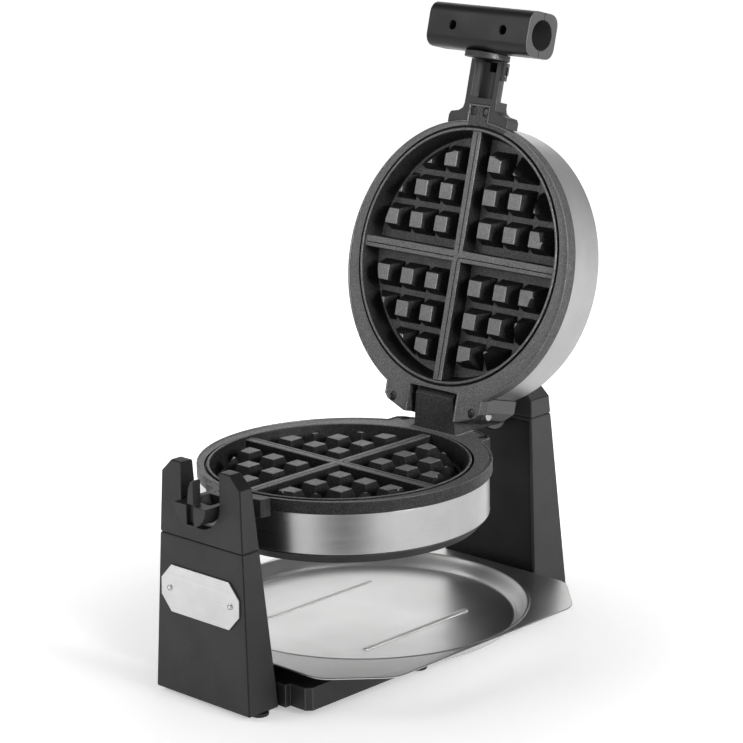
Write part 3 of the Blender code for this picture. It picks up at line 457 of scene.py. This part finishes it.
def prism(outline, low, high, axis="z"):
    """Extrude a closed outline from low to high along an axis."""
    order = {"x": (2, 0, 1), "y": (0, 2, 1), "z": (0, 1, 2)}[axis]
    shape = bmesh.new()
    ends = []
    for level in (low, high):
        ends.append([shape.verts.new([(u, v, level)[k] for k in order]) for u, v in outline])
    shape.faces.new(ends[0])
    shape.faces.new(list(reversed(ends[1])))
    for i in range(len(outline)):
        j = (i + 1) % len(outline)
        shape.faces.new((ends[0][i], ends[1][i], ends[1][j], ends[0][j]))
    bmesh.ops.recalc_face_normals(shape, faces=shape.faces)
    return shape


def block(x, y, z):
    return prism([(x[0], y[0]), (x[1], y[0]), (x[1], y[1]), (x[0], y[1])], z[0], z[1])


def lathe(profile, centre=(0.0, 0.0), steps=128, closed=True):
    """Spin an (r, z) profile about the vertical through centre."""
    shape = bmesh.new()
    line = [shape.verts.new((centre[0] + r, centre[1], z)) for r, z in profile]
    pairs = list(zip(line, line[1:]))
    if closed:
        pairs.append((line[-1], line[0]))
    edges = [shape.edges.new(pair) for pair in pairs]
    bmesh.ops.spin(shape, geom=line + edges, cent=(centre[0], centre[1], 0.0), axis=(0, 0, 1),
                   angle=math.tau, steps=steps, use_merge=True)
    bmesh.ops.remove_doubles(shape, verts=shape.verts, dist=1e-6)
    bmesh.ops.dissolve_degenerate(shape, edges=shape.edges, dist=1e-6)
    bmesh.ops.recalc_face_normals(shape, faces=shape.faces)
    return shape


def combine(shape, tool, operation="DIFFERENCE"):
    """Exact boolean of two bmeshes; both are used up."""
    pair = []
    for source in (shape, tool):
        bmesh.ops.recalc_face_normals(source, faces=source.faces)
        mesh = bpy.data.meshes.new("shape")
        source.to_mesh(mesh)
        source.free()
        holder = bpy.data.objects.new("shape", mesh)
        bpy.context.scene.collection.objects.link(holder)
        pair.append(holder)
    cut = pair[0].modifiers.new("cut", "BOOLEAN")
    cut.solver = "EXACT"
    cut.operation = operation
    cut.object = pair[1]
    result = bmesh.new()
    result.from_object(pair[0], bpy.context.evaluated_depsgraph_get())
    for holder in pair:
        mesh = holder.data
        bpy.data.objects.remove(holder)
        bpy.data.meshes.remove(mesh)
    return result


def placed(shape, upper):
    """Move a drawn half from the closed drawing into the row frame; the lid is opened."""
    matrix = Matrix.Translation(CAVITY)
    if upper:
        pin = Matrix.Translation(PIN)
        matrix = pin @ Matrix.Rotation(-LID_OPEN, 4, "X") @ pin.inverted() @ matrix
        for vert in shape.verts:
            vert.co.z = -vert.co.z
        bmesh.ops.reverse_faces(shape, faces=shape.faces)
    shape.transform(matrix)
    return shape


# ---------------------------------------------------------------- waffle plates
# Drawn round the cavity's centre with the parting plane at z = 0, as the lower half.

RIM_CENTRE_Y = 0.0059
RIM_RADIUS = 0.1122
RIM_DEPTH = 0.010
RIM_FACE = -0.0012
RIM_EDGE = 0.0003
LIP_TOP = -0.0004
LIP_WIDTH = 0.0010
BEAD_TOP = -0.00015
CAVITY_TOP_RADIUS = 0.0984
CAVITY_FLOOR = -0.016
FLOOR_RADIUS = 0.0945
STUD_TOP = -0.0023
STUD_PITCH = 0.026
STUD_FIRST = 0.0225
STUD_BASE_HALF = 0.01075
STUD_TOP_HALF = 0.006
DIVIDER_HALF = 0.0043
GROOVE_OFFSET = 0.0010
GROOVE_HALF = 0.0004
EAR_HALF = 0.0497
EAR_REAR = 0.127
SCREW_PLACES = ((-0.041, 0.1175), (0.041, 0.1175), (-0.006, -0.1135), (0.006, -0.1135))


def rim_outline(notch_half, notch_front):
    """Circle, two hinge ears, notch for the hinge block and front tab, seen from above."""
    start = math.degrees(math.acos(EAR_HALF / RIM_RADIUS))
    tab_half, tab_front = 0.011, -0.1187
    tab = math.degrees(math.asin(tab_half / RIM_RADIUS))
    centre = (0.0, RIM_CENTRE_Y)
    side = [(notch_half, notch_front), (notch_half, EAR_REAR), (notch_half + 0.003, EAR_REAR),
            (EAR_HALF - 0.004, 0.1205), (EAR_HALF, 0.1165)]
    side += arc(centre, RIM_RADIUS, start, -90 + tab, 60)
    side += [(tab_half, tab_front)]
    return side + [(-x, y) for x, y in reversed(side)]


def rim_casting(outline):
    """Flat rim with a thin raised lip along its whole outline."""
    rim = prism(outline, -RIM_DEPTH, LIP_TOP)
    eased(rim, RIM_EDGE, 60.0)
    top = max(rim.faces, key=lambda f: (f.normal.z > 0.9) * f.calc_area())
    for width in (LIP_WIDTH - RIM_EDGE, RIM_EDGE):
        bmesh.ops.inset_region(rim, faces=[top], thickness=width, use_even_offset=True)
    for vert in top.verts:
        vert.co.z = RIM_FACE
    return rim


def frustum(centre, low_half, low, high_half, high):
    """Tapered block with eased edges."""
    shape = bmesh.new()
    rings = []
    for half, level in ((low_half, low), (high_half, high)):
        corners = ((-half, -half), (half, -half), (half, half), (-half, half))
        rings.append([shape.verts.new((centre[0] + u, centre[1] + v, level))
                      for u, v in corners])
    shape.faces.new(list(reversed(rings[0])))
    shape.faces.new(rings[1])
    for i in range(4):
        j = (i + 1) % 4
        shape.faces.new((rings[0][i], rings[0][j], rings[1][j], rings[1][i]))
    edges = [e for e in shape.edges if max(v.co.z for v in e.verts) > low + 1e-6]
    bmesh.ops.bevel(shape, geom=edges, offset=0.0005, segments=2, profile=0.5,
                    affect="EDGES", clamp_overlap=True)
    return shape


def merge(shapes):
    """Several separate bmeshes as one."""
    whole = bmesh.new()
    for shape in shapes:
        mesh = bpy.data.meshes.new("part")
        shape.to_mesh(mesh)
        shape.free()
        whole.from_mesh(mesh)
        bpy.data.meshes.remove(mesh)
    return whole


def studs():
    """The whole grid of studs, clipped by the cavity's cone."""
    base = CAVITY_FLOOR - 0.001
    slope = (STUD_BASE_HALF - STUD_TOP_HALF) / (STUD_TOP - CAVITY_FLOOR)
    foot = STUD_BASE_HALF + 0.001 * slope
    made = []
    for i in range(3):
        for j in range(3):
            if i + j > 3:
                continue
            for sx in (-1, 1):
                for sy in (-1, 1):
                    place = (sx * (STUD_FIRST + i * STUD_PITCH),
                             sy * (STUD_FIRST + j * STUD_PITCH))
                    made.append(frustum(place, foot, base, STUD_TOP_HALF, STUD_TOP))
    cone = lathe([(0.0, base - 0.001), (0.0935, base - 0.001), (0.082, STUD_TOP + 0.001),
                  (0.0, STUD_TOP + 0.001)], steps=96, closed=False)
    return combine(merge(made), cone, "INTERSECT")


def divider(axis):
    """Rounded ridge across the cavity."""
    low, reach, half = CAVITY_FLOOR - 0.001, 0.0994, DIVIDER_HALF
    side = [(half + 0.0010, low), (half + 0.0001, STUD_TOP - 0.0006),
            (half - 0.0002, STUD_TOP - 0.0002), (half - 0.0007, STUD_TOP)]
    return prism([(-u, v) for u, v in side] + list(reversed(side)), -reach, reach, axis)


def divider_grooves():
    """Fine grooves along both dividers, turning with a round corner where they meet."""
    o, w, far, bend = GROOVE_OFFSET, GROOVE_HALF, 0.0965, 0.003
    low, high = STUD_TOP - 0.0009, STUD_TOP + 0.001
    outer = arc((o + bend, o + bend), bend + w, 180, 270, 8)
    inner = arc((o + bend, o + bend), bend - w, 270, 180, 8)
    corner = [(o - w, far)] + outer + [(far, o - w), (far, o + w)] + inner + [(o + w, far)]
    across = [(-far, o - w), (-bend, o - w), (-bend, o + w), (-far, o + w)]
    along = [(o - w, -far), (o + w, -far), (o + w, -bend), (o - w, -bend)]
    return merge([prism(line, low, high) for line in (corner, across, along)])


def cavity():
    """The round well of the plate, with a fillet round its floor."""
    wall = (CAVITY_TOP_RADIUS - FLOOR_RADIUS) / (0.0 - CAVITY_FLOOR)
    fillet = 0.0020
    centre = (FLOOR_RADIUS + wall * fillet - fillet, CAVITY_FLOOR + fillet)
    profile = [(0.0, CAVITY_FLOOR)] + arc(centre, fillet, -90, -12, 5)
    profile += [(CAVITY_TOP_RADIUS, 0.0), (CAVITY_TOP_RADIUS + 0.0005, 0.002), (0.0, 0.002)]
    return lathe(profile, steps=144, closed=False)


def plate_casting(notch_half, notch_front):
    """Rim, pan, bead, dividers and studs of one half."""
    plate = rim_casting(rim_outline(notch_half, notch_front))
    pan = lathe([(0.0, -0.019), (0.0995, -0.019), (0.1015, -0.017), (0.1015, -0.003),
                 (0.0, -0.003)], steps=96, closed=False)
    plate = combine(plate, pan, "UNION")
    groove = lathe([(0.1004, -0.0032), (0.1019, -0.0032), (0.1025, 0.001), (0.1004, 0.001)],
                   steps=144)
    plate = combine(plate, groove)
    crown = arc((0.0993, BEAD_TOP - 0.0011), 0.0011, 0, 180, 6)
    bead = lathe([(0.1004, -0.005)] + crown + [(0.0970, -0.005)], steps=144)
    plate = combine(plate, bead, "UNION")
    plate = combine(plate, cavity())
    ridges = combine(divider("x"), divider("y"), "UNION")
    ridges = combine(ridges, divider_grooves())
    plate = combine(plate, ridges, "UNION")
    plate = combine(plate, studs(), "UNION")
    for place in SCREW_PLACES:
        recess = lathe([(0.0, -0.0033), (0.0034, -0.0033), (0.0034, RIM_FACE - 0.0003),
                        (0.0038, RIM_FACE + 0.0002), (0.0038, 0.001), (0.0, 0.001)],
                       place, 32, closed=False)
        plate = combine(plate, recess)
    return plate


STUD_CLIP = 0.088                 # corners past this radius get no painted highlight line
BASE_SLOT, RIM_SLOT, VALLEY_LIGHT_SLOT, STUD_TOP_LIGHT_SLOT, HIGHLIGHT_LINE_SLOT = range(5)
STUD_EDGE_AREA = 6e-6             # only the eased corners of a stud are smaller
# Per half: rim, valley, stud-top and line copies of one coating; all but the lower rim are
# painted light.
PLATE_FINISHES = {"lower": ("lower_rim", "valley_painted_light", "stud_top_painted_light", "painted_highlight_line"),
                  "upper": ("rim", "valley_painted_light", "stud_top_painted_light", "painted_highlight_line")}


def surface_of(face):
    """Which part of a plate's surface a face belongs to, as a material slot; stud tops, valley
    floors and thin lines get painted light.
    """
    x, y, z = face.calc_center_median()
    inside = math.hypot(x, y) < FLOOR_RADIUS + 0.0005
    clear = min(abs(x), abs(y)) > DIVIDER_HALF + 0.002
    if face.normal.z > 0.5 and inside and z > STUD_TOP - 0.0006:
        return STUD_TOP_LIGHT_SLOT if clear else HIGHLIGHT_LINE_SLOT
    if face.normal.z > 0.9 and inside and z < CAVITY_FLOOR + 0.001:
        return VALLEY_LIGHT_SLOT
    slanted = abs(abs(face.normal.x) - abs(face.normal.y)) < 0.4
    corner = slanted and face.calc_area() < STUD_EDGE_AREA
    if corner and clear and math.hypot(x, y) < STUD_CLIP and z > CAVITY_FLOOR + 0.001:
        return HIGHLIGHT_LINE_SLOT
    if z > RIM_FACE + 0.0003 and face.normal.z > 0.3:
        return HIGHLIGHT_LINE_SLOT
    outside = math.hypot(x, y) > CAVITY_TOP_RADIUS + 0.003
    return RIM_SLOT if outside and z > -RIM_DEPTH - 0.0002 else BASE_SLOT


def hinge_slot(half):
    """Room in the lid's rear for the hinge block and the pivot shaft; lid drawn upwards."""
    low, behind_pan, top = 0.0028, 0.0195, 0.070
    return prism([(0.1023, low), (0.140, low), (0.140, top), (0.100, top), (0.099, 0.035),
                  (0.099, behind_pan), (0.1023, behind_pan)], -half, half, "x")


def flipped(shape):
    for vert in shape.verts:
        vert.co.z = -vert.co.z
    bmesh.ops.reverse_faces(shape, faces=shape.faces)
    return shape


def waffle_plate(half):
    upper = half == "upper"
    if upper:
        plate = plate_casting(0.0245, 0.105)
        plate = combine(plate, flipped(hinge_slot(0.0245)))
    else:
        plate = plate_casting(0.0231, 0.1062)
    plate.normal_update()
    bmesh.ops.recalc_face_normals(plate, faces=plate.faces)
    plate.normal_update()
    for face in plate.faces:
        face.material_index = surface_of(face)
    piece = settle(f"{half}_waffle_casting", placed(plate, upper), BODY_OF[half], "nonstick",
                   (f"{half}_waffle_plate",), 32.0)
    for finish in PLATE_FINISHES[half]:
        piece.data.materials.append(FINISHES[finish])


def plate_screw(half, number):
    """Countersunk screw with a cross recess."""
    x, y = SCREW_PLACES[number - 1]
    screw = lathe([(0.0, -0.0098), (0.0015, -0.0098), (0.0015, -0.0029), (0.0031, -0.0029),
                   (0.0031, -0.0022), (0.0028, -0.0018), (0.0020, -0.0015), (0.0, -0.0013)],
                  (x, y), 28, closed=False)
    turn = Matrix.Translation((x, y, 0.0)) @ Matrix.Rotation(0.5 * number, 4, "Z")
    for long_x, long_y in ((0.0019, 0.00038), (0.00038, 0.0019)):
        arm = block((-long_x, long_x), (-long_y, long_y), (-0.0023, 0.0))
        arm.transform(turn)
        screw = combine(screw, arm)
    settle(f"{half}_cross_screw_{number}", placed(screw, half == "upper"), BODY_OF[half],
           "screw", (f"{half}_plate_screw_{number}",))


# ---------------------------------------------------------------- housing rings

BAND_RADIUS = 0.110
EDGE_RADIUS = 0.1035
BAND_LOW = -0.0414
EDGE_LOW = -0.0496


def band_profile():
    """Thin wall with a small rolled edge at both ends."""
    top, low, roll = -RIM_DEPTH - 0.0003, BAND_LOW, 0.0007
    outer, inner = BAND_RADIUS, BAND_RADIUS - 0.0012
    upper_roll = arc((outer - roll, top - roll), roll, 0, 90, 4)
    lower_roll = arc((outer - roll, low + roll), roll, -90, 0, 4)
    waist = [(outer - 0.0002, low + 0.0016), (outer - 0.0002, top - 0.0016)]
    return [(inner, low)] + lower_roll + waist + upper_roll + [(inner, top)]


def edge_profile():
    top, low, outer = BAND_LOW - 0.0003, EDGE_LOW, BAND_RADIUS - 0.0008
    foot = arc((EDGE_RADIUS - 0.0014, low + 0.0014), 0.0014, -90, -20, 4)
    return [(EDGE_RADIUS - 0.006, low)] + foot + [(outer, top - 0.0006), (outer - 0.0006, top),
                                                  (outer - 0.004, top)]


def cover_profile():
    edge, dome = EDGE_RADIUS - 0.0063, 0.005
    shares = [k / 12 for k in range(13)]
    outside = [(edge * k, EDGE_LOW - dome * (1 - k * k)) for k in shares]
    return outside + [(r, z + 0.0015) for r, z in reversed(outside)]


def housing(half):
    upper = half == "upper"
    rings = (("steel_band", band_profile(), True, "lid_band" if upper else "band", "steel"),
             ("edge_ring", edge_profile(), True, "trim", "dark_trim"),
             ("face_cover", cover_profile(), False, "lid_cover" if upper else "cover", "steel"))
    for label, profile, closed, finish, slot in rings:
        shape = lathe(profile, (0.0, RIM_CENTRE_Y), 144, closed)
        if upper:
            shape = combine(shape, flipped(hinge_slot(0.0230)))
        settle(f"{half}_{label}_turned", placed(shape, upper), BODY_OF[half], finish,
               (f"{half}_{label}",))


# ---------------------------------------------------------------- nameplate rivets

def rivet(side):
    """Flush rivet: a flat disc inside a fine groove, with painted shade in the groove."""
    node = f"nameplate_rivet_{side}"
    low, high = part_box(node)
    radius, tall = 0.5 * (high.x - low.x), high.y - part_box("nameplate")[0].y + 0.0003
    profile = [(0.0, 0.0), (radius, 0.0), (radius, tall - 0.0002), (radius - 0.0002, tall),
               (radius - 0.0005, tall), (radius - 0.0006, tall - 0.0003),
               (radius - 0.0008, tall - 0.0003), (radius - 0.0010, tall),
               (0.4 * radius, tall + 0.0001), (0.0, tall + 0.00012)]
    shape = lathe(profile, steps=40, closed=False)
    for face in shape.faces:
        reach = math.hypot(*face.calc_center_median().xy)
        # groove faces take the painted shade copy of the case plastic
        face.material_index = int(radius - 0.0011 < reach < radius - 0.0004)
    spot = centre_of(node)
    shape.transform(Matrix.Translation((spot.x, high.y, spot.z))
                    @ Matrix.Rotation(math.radians(90), 4, "X"))
    piece = settle(node + "_turned", shape, "stand", "rivet", (node,))
    piece.data.materials.append(FINISHES["case_painted_shade"])


# ---------------------------------------------------------------- drip tray

TRAY_HALF = 0.128
TRAY_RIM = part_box("drip_tray")[1].z
TRAY_FLOOR = TRAY_RIM - 0.011
TRAY_SHEET = 0.0014
WELL_Y = CAVITY.y + 0.0275
TRAY_FRONT, TRAY_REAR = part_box("drip_tray")[0].y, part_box("drip_tray")[1].y


def tray_outline():
    """Rectangle with cut and rounded corners, in the row frame."""
    x, front, rear = TRAY_HALF, TRAY_FRONT, TRAY_REAR
    cut, left, radius, steps = 0.040, 0.048, 0.022, 8
    corners = [(x, front + cut), (x, rear - cut), (x - cut, rear), (left - x, rear),
               (-x, rear - left), (-x, front + left), (left - x, front), (x - cut, front)]
    points = []
    for i, corner in enumerate(corners):
        here = Vector(corner)
        back = (Vector(corners[i - 1]) - here).normalized()
        ahead = (Vector(corners[(i + 1) % len(corners)]) - here).normalized()
        reach = radius / math.tan(0.5 * back.angle(ahead))
        for k in range(steps + 1):
            t = k / steps
            start, end = here + back * reach, here + ahead * reach
            points.append(start * (1 - t) ** 2 + here * 2 * t * (1 - t) + end * t ** 2)
    return points


def ray_reach(outline, origin, direction):
    """Distance from origin to a closed outline along a direction."""
    best = None
    for i, start in enumerate(outline):
        edge = outline[(i + 1) % len(outline)] - start
        cross = direction.x * edge.y - direction.y * edge.x
        if abs(cross) < 1e-12:
            continue
        gap = start - origin
        along = (gap.x * edge.y - gap.y * edge.x) / cross
        share = (gap.x * direction.y - gap.y * direction.x) / cross
        if along > 0 and -1e-9 <= share <= 1 + 1e-9 and (best is None or along < best):
            best = along
    return best


def well_section():
    """(radius, height) from the tray's centre to just outside the well."""
    floor, rim = TRAY_FLOOR, TRAY_RIM
    section = [(r, floor) for r in (0.02, 0.05, 0.08, 0.10, 0.1115)]
    section += [(0.1128, floor - 0.0003), (0.1142, floor - 0.0001), (0.1151, floor + 0.0008),
                (0.1158, floor + 0.0020), (0.1170, floor + 0.0034), (0.1188, floor + 0.0052),
                (0.1208, floor + 0.0070), (0.1226, floor + 0.0088), (0.1236, floor + 0.0101),
                (0.1243, rim - 0.0002), (0.1250, rim + 0.0001), (0.1257, rim + 0.0001),
                (0.1264, rim - 0.0002)]
    return section


RIB_OFFSET = 0.052


def rib(x):
    """Pressed stiffening rib: a long low dome on the well's floor."""
    half, rise, low, high, steps = 0.0029, 0.0016, -0.0637, 0.0533, 10
    shape = bmesh.new()
    rings = []
    for level in range(6):
        bend = 0.5 * math.pi * level / 5
        radius, height = half * math.cos(bend), rise * math.sin(bend)
        ends = arc((x, high - half), max(radius, 1e-5), 0, 180, steps)
        ends += arc((x, low + half), max(radius, 1e-5), 180, 360, steps)
        rings.append([shape.verts.new((u, v, TRAY_FLOOR - 0.0002 + height)) for u, v in ends])
    for lower, upper in zip(rings, rings[1:]):
        for i in range(len(lower)):
            j = (i + 1) % len(lower)
            shape.faces.new((lower[i], lower[j], upper[j], upper[i]))
    shape.faces.new(rings[-1])
    shape.faces.new(list(reversed(rings[0])))
    return shape


def drip_tray():
    """Pressed sheet: flat shelf, round well with a rolled rim, and two ribs."""
    outline, origin, spokes = tray_outline(), Vector((0.0, WELL_Y)), 240
    section = well_section()
    sheet = bmesh.new()
    hub = sheet.verts.new((0.0, WELL_Y, TRAY_FLOOR))
    rings = [[] for _ in range(len(section) + 4)]
    for i in range(spokes):
        angle = math.tau * i / spokes
        direction = Vector((math.cos(angle), math.sin(angle)))
        far = ray_reach(outline, origin, direction)
        last = section[-1][0]
        room = far - last
        shelf = TRAY_RIM - 0.0002
        line = section + [(last + min(0.0008, 0.3 * room), shelf),
                          (far - min(0.0012, 0.4 * room), shelf),
                          (far - min(0.0005, 0.2 * room), shelf - 0.0001),
                          (far, shelf - 0.0004)]
        for ring, (radius, height) in zip(rings, line):
            spot = origin + direction * radius
            ring.append(sheet.verts.new((spot.x, spot.y, height)))
    for i in range(spokes):
        j = (i + 1) % spokes
        sheet.faces.new((hub, rings[0][i], rings[0][j]))
        for lower, upper in zip(rings, rings[1:]):
            sheet.faces.new((lower[i], upper[i], upper[j], lower[j]))
    bmesh.ops.recalc_face_normals(sheet, faces=sheet.faces)
    bmesh.ops.solidify(sheet, geom=sheet.faces[:], thickness=TRAY_SHEET - 0.0004)
    ribs = merge([rib(-RIB_OFFSET), rib(RIB_OFFSET)])
    for face in ribs.faces:
        # rib faces take the painted highlight copy of the tray steel
        face.material_index = 1
    piece = settle("drip_tray_pressing", merge([sheet, ribs]), "tray", "tray",
                   ("drip_tray",), 40.0)
    piece.data.materials.append(FINISHES["rib"])


# ---------------------------------------------------------------- pieces

REFINED = {
    "front_upright": ("case", 0.0005),
    "front_cradle_cap": ("case", 0.0005),
    # the inner panels take the painted shade copy
    "front_inner_panel": ("inner", 0.0004),
    "rear_upright": ("case", 0.0005),
    "rear_pivot_cap": ("case", 0.0005),
    "rear_inner_panel": ("inner", 0.0004),
    "base_deck": ("deck", 0.0006),
    "base_plate": ("deck", 0.0004),
    "cradle_liner": ("liner", 0.0003),
    "nameplate": ("plate", 0.0003),
    "rear_pivot_bush": ("liner", 0.0003),
    "cord_gland": ("rubber", 0.0003),
    "control_bezel": ("bright", 0.0003),
    "power_lamp": ("red", 0.0002),
    "ready_lamp": ("green", 0.0002),
    "front_foot_left": ("rubber", 0.0003),
    "front_foot_right": ("rubber", 0.0003),
    "rear_foot_left": ("rubber", 0.0003),
    "rear_foot_right": ("rubber", 0.0003),
    "deck_foot_left": ("rubber", 0.0003),
    "deck_foot_right": ("rubber", 0.0003),
    "lower_heating_element": ("heater", 0.0002),
    "lower_thermostat": ("heater", 0.0003),
    "hinge_block": ("hinge", 0.0005),
    "hinge_pin": ("pin", 0.0004),
    "pivot_shaft": ("hinge", 0.0003),
    "lower_stem": ("stem", 0.0004),
    "upper_heating_element": ("heater", 0.0002),
    "upper_thermostat": ("heater", 0.0003),
    "hinge_lug_left": ("lug", 0.0004),
    "hinge_lug_right": ("lug", 0.0004),
    "handle_stem": ("stem", 0.0004),
    "handle_collar": ("stem", 0.0005),
    "latch_clip": ("handle", 0.0002),
    "grip_screw_left": ("screw", 0.0002),
    "grip_screw_right": ("screw", 0.0002),
    "browning_knob": ("handle", 0.0005),
}
for node_name, (finish_name, edge_width) in REFINED.items():
    refined(node_name, finish_name, edge_width)
grip_ends()
for side_name in ("left", "right"):
    rivet(side_name)
for half_name in BODY_OF:
    waffle_plate(half_name)
    housing(half_name)
    for screw_number in (1, 2, 3, 4):
        plate_screw(half_name, screw_number)
drip_tray()


# ---------------------------------------------------------------- stage

GROUND_RADIUS = 7.0
ROOM_HORIZON = 1.0
ROOM_ZENITH = 0.16
ROOM_DIMS = (0.25, 0.62)          # heights between which the room darkens
BACKDROP = 1.05                   # what the camera sees behind the part
# The floor glows less near the part: painted shade round the part, painted light farther off.
FLOOR_PAINTED_GLOW = (0.14, 0.42, 0.34, 0.78)  # from distance, to distance, glow near, glow far


def studio():
    """A pale floor that glows, less near the part as painted shade, a white room and soft lamps.
    """
    scene = bpy.context.scene
    scene.view_settings.view_transform = "Standard"
    floor = bmesh.new()
    bmesh.ops.create_circle(floor, cap_ends=True, radius=GROUND_RADIUS, segments=96)
    mesh = bpy.data.meshes.new("floor")
    floor.to_mesh(mesh)
    floor.free()
    ground = bpy.data.objects.new("floor", mesh)
    scene.collection.objects.link(ground)
    paper = Finish("paper", Roughness=0.9, Specular_IOR_Level=0.1)
    paper.colour(paper.mix(paper.noise(9.0, 2.0), (0.90, 0.90, 0.90), (0.93, 0.93, 0.93)))
    distance = paper.add("ShaderNodeVectorMath", operation="LENGTH")
    paper.join(paper.place((1.0, 1.0, 1.0)), distance.inputs[0])
    # glow by distance from the part: painted shade near, painted light far
    glow = paper.span(distance.outputs["Value"], *FLOOR_PAINTED_GLOW)
    paper.join(glow, paper.shader.inputs["Emission Strength"])
    paper.set(paper.shader, "Emission Color", (1.0, 1.0, 1.0))
    mesh.materials.append(paper.material)

    world = bpy.data.worlds.new("studio")
    scene.world = world
    world.use_nodes = True
    tree = world.node_tree
    tree.nodes.clear()
    where = tree.nodes.new("ShaderNodeTexCoord")
    split = tree.nodes.new("ShaderNodeSeparateXYZ")
    ramp = tree.nodes.new("ShaderNodeMapRange")
    ramp.interpolation_type = "SMOOTHSTEP"
    ramp.inputs["From Min"].default_value, ramp.inputs["From Max"].default_value = ROOM_DIMS
    ramp.inputs["To Min"].default_value = ROOM_HORIZON
    ramp.inputs["To Max"].default_value = ROOM_ZENITH
    room = tree.nodes.new("ShaderNodeBackground")
    backdrop = tree.nodes.new("ShaderNodeBackground")
    backdrop.inputs["Strength"].default_value = BACKDROP
    backdrop.inputs["Color"].default_value = (1.0, 1.0, 1.0, 1.0)
    path = tree.nodes.new("ShaderNodeLightPath")
    choose = tree.nodes.new("ShaderNodeMixShader")
    out = tree.nodes.new("ShaderNodeOutputWorld")
    links = tree.links
    links.new(where.outputs["Generated"], split.inputs["Vector"])
    links.new(split.outputs["Z"], ramp.inputs["Value"])
    links.new(ramp.outputs["Result"], room.inputs["Strength"])
    links.new(path.outputs["Is Camera Ray"], choose.inputs["Fac"])
    links.new(room.outputs["Background"], choose.inputs[1])
    links.new(backdrop.outputs["Background"], choose.inputs[2])
    links.new(choose.outputs["Shader"], out.inputs["Surface"])


def lamp(name, place, target, size, power, spread=math.pi):
    light = bpy.data.lights.new(name, "AREA")
    light.spread = spread
    light.shape = "DISK"
    light.size = size
    light.energy = power
    holder = bpy.data.objects.new(name, light)
    bpy.context.scene.collection.objects.link(holder)
    holder.location = place
    aim = Vector(target) - Vector(place)
    holder.rotation_mode = "QUATERNION"
    holder.rotation_quaternion = aim.to_track_quat("-Z", "Y")
    holder.visible_camera = False


def flag(place, half):
    """Dark card on the floor that only shows in the steel's reflections."""
    shape = block((place[0] - half, place[0] + half), (place[1] - half, place[1] + half),
                  (0.001, 0.002))
    mesh = bpy.data.meshes.new("flag")
    shape.to_mesh(mesh)
    shape.free()
    card = bpy.data.objects.new("flag", mesh)
    bpy.context.scene.collection.objects.link(card)
    for rays in ("camera", "diffuse", "shadow", "transmission"):
        setattr(card, f"visible_{rays}", False)
    mesh.materials.append(moulded("flag_card", (0.05, 0.05, 0.05), 0.8))


VIEW_PLACE = (1.36095, -1.41558, 0.73359)
VIEW_DIRECTION = (-0.66925, 0.69814, -0.25436)
VIEW_ROLL = -0.896                # degrees
VIEW_LENS = 129.6


def camera():
    """The product shot's viewing angle."""
    data = bpy.data.cameras.new("camera")
    data.sensor_width = 36.0
    data.lens = VIEW_LENS
    data.clip_start = 0.05
    data.clip_end = 30.0
    holder = bpy.data.objects.new("camera", data)
    bpy.context.scene.collection.objects.link(holder)
    forward = Vector(VIEW_DIRECTION).normalized()
    level = forward.cross(Vector((0.0, 0.0, 1.0))).normalized()
    up = level.cross(forward)
    roll = math.radians(VIEW_ROLL)
    right = level * math.cos(roll) + up * math.sin(roll)
    up = up * math.cos(roll) - level * math.sin(roll)
    turn = Matrix((right, up, -forward)).transposed().to_4x4()
    holder.matrix_world = Matrix.Translation(VIEW_PLACE) @ turn
    bpy.context.scene.camera = holder


studio()
MIDDLE = (CAD_BOX[0] + CAD_BOX[1]) / 2
TOP = Vector((0.0, 0.13, 0.42))
lamp("key_softbox", (-0.9, -1.2, 1.25), MIDDLE, 1.2, 10.0)
lamp("right_softbox", (1.7, 0.1, 0.9), MIDDLE, 1.2, 4.0)
lamp("side_strip", (1.05, 0.02, 0.62), TOP, 0.5, 2.8, math.radians(50))
lamp("rear_softbox", (-1.2, 1.4, 1.2), MIDDLE, 1.3, 4.0)
flag((0.41, -0.46), 0.20)
camera()
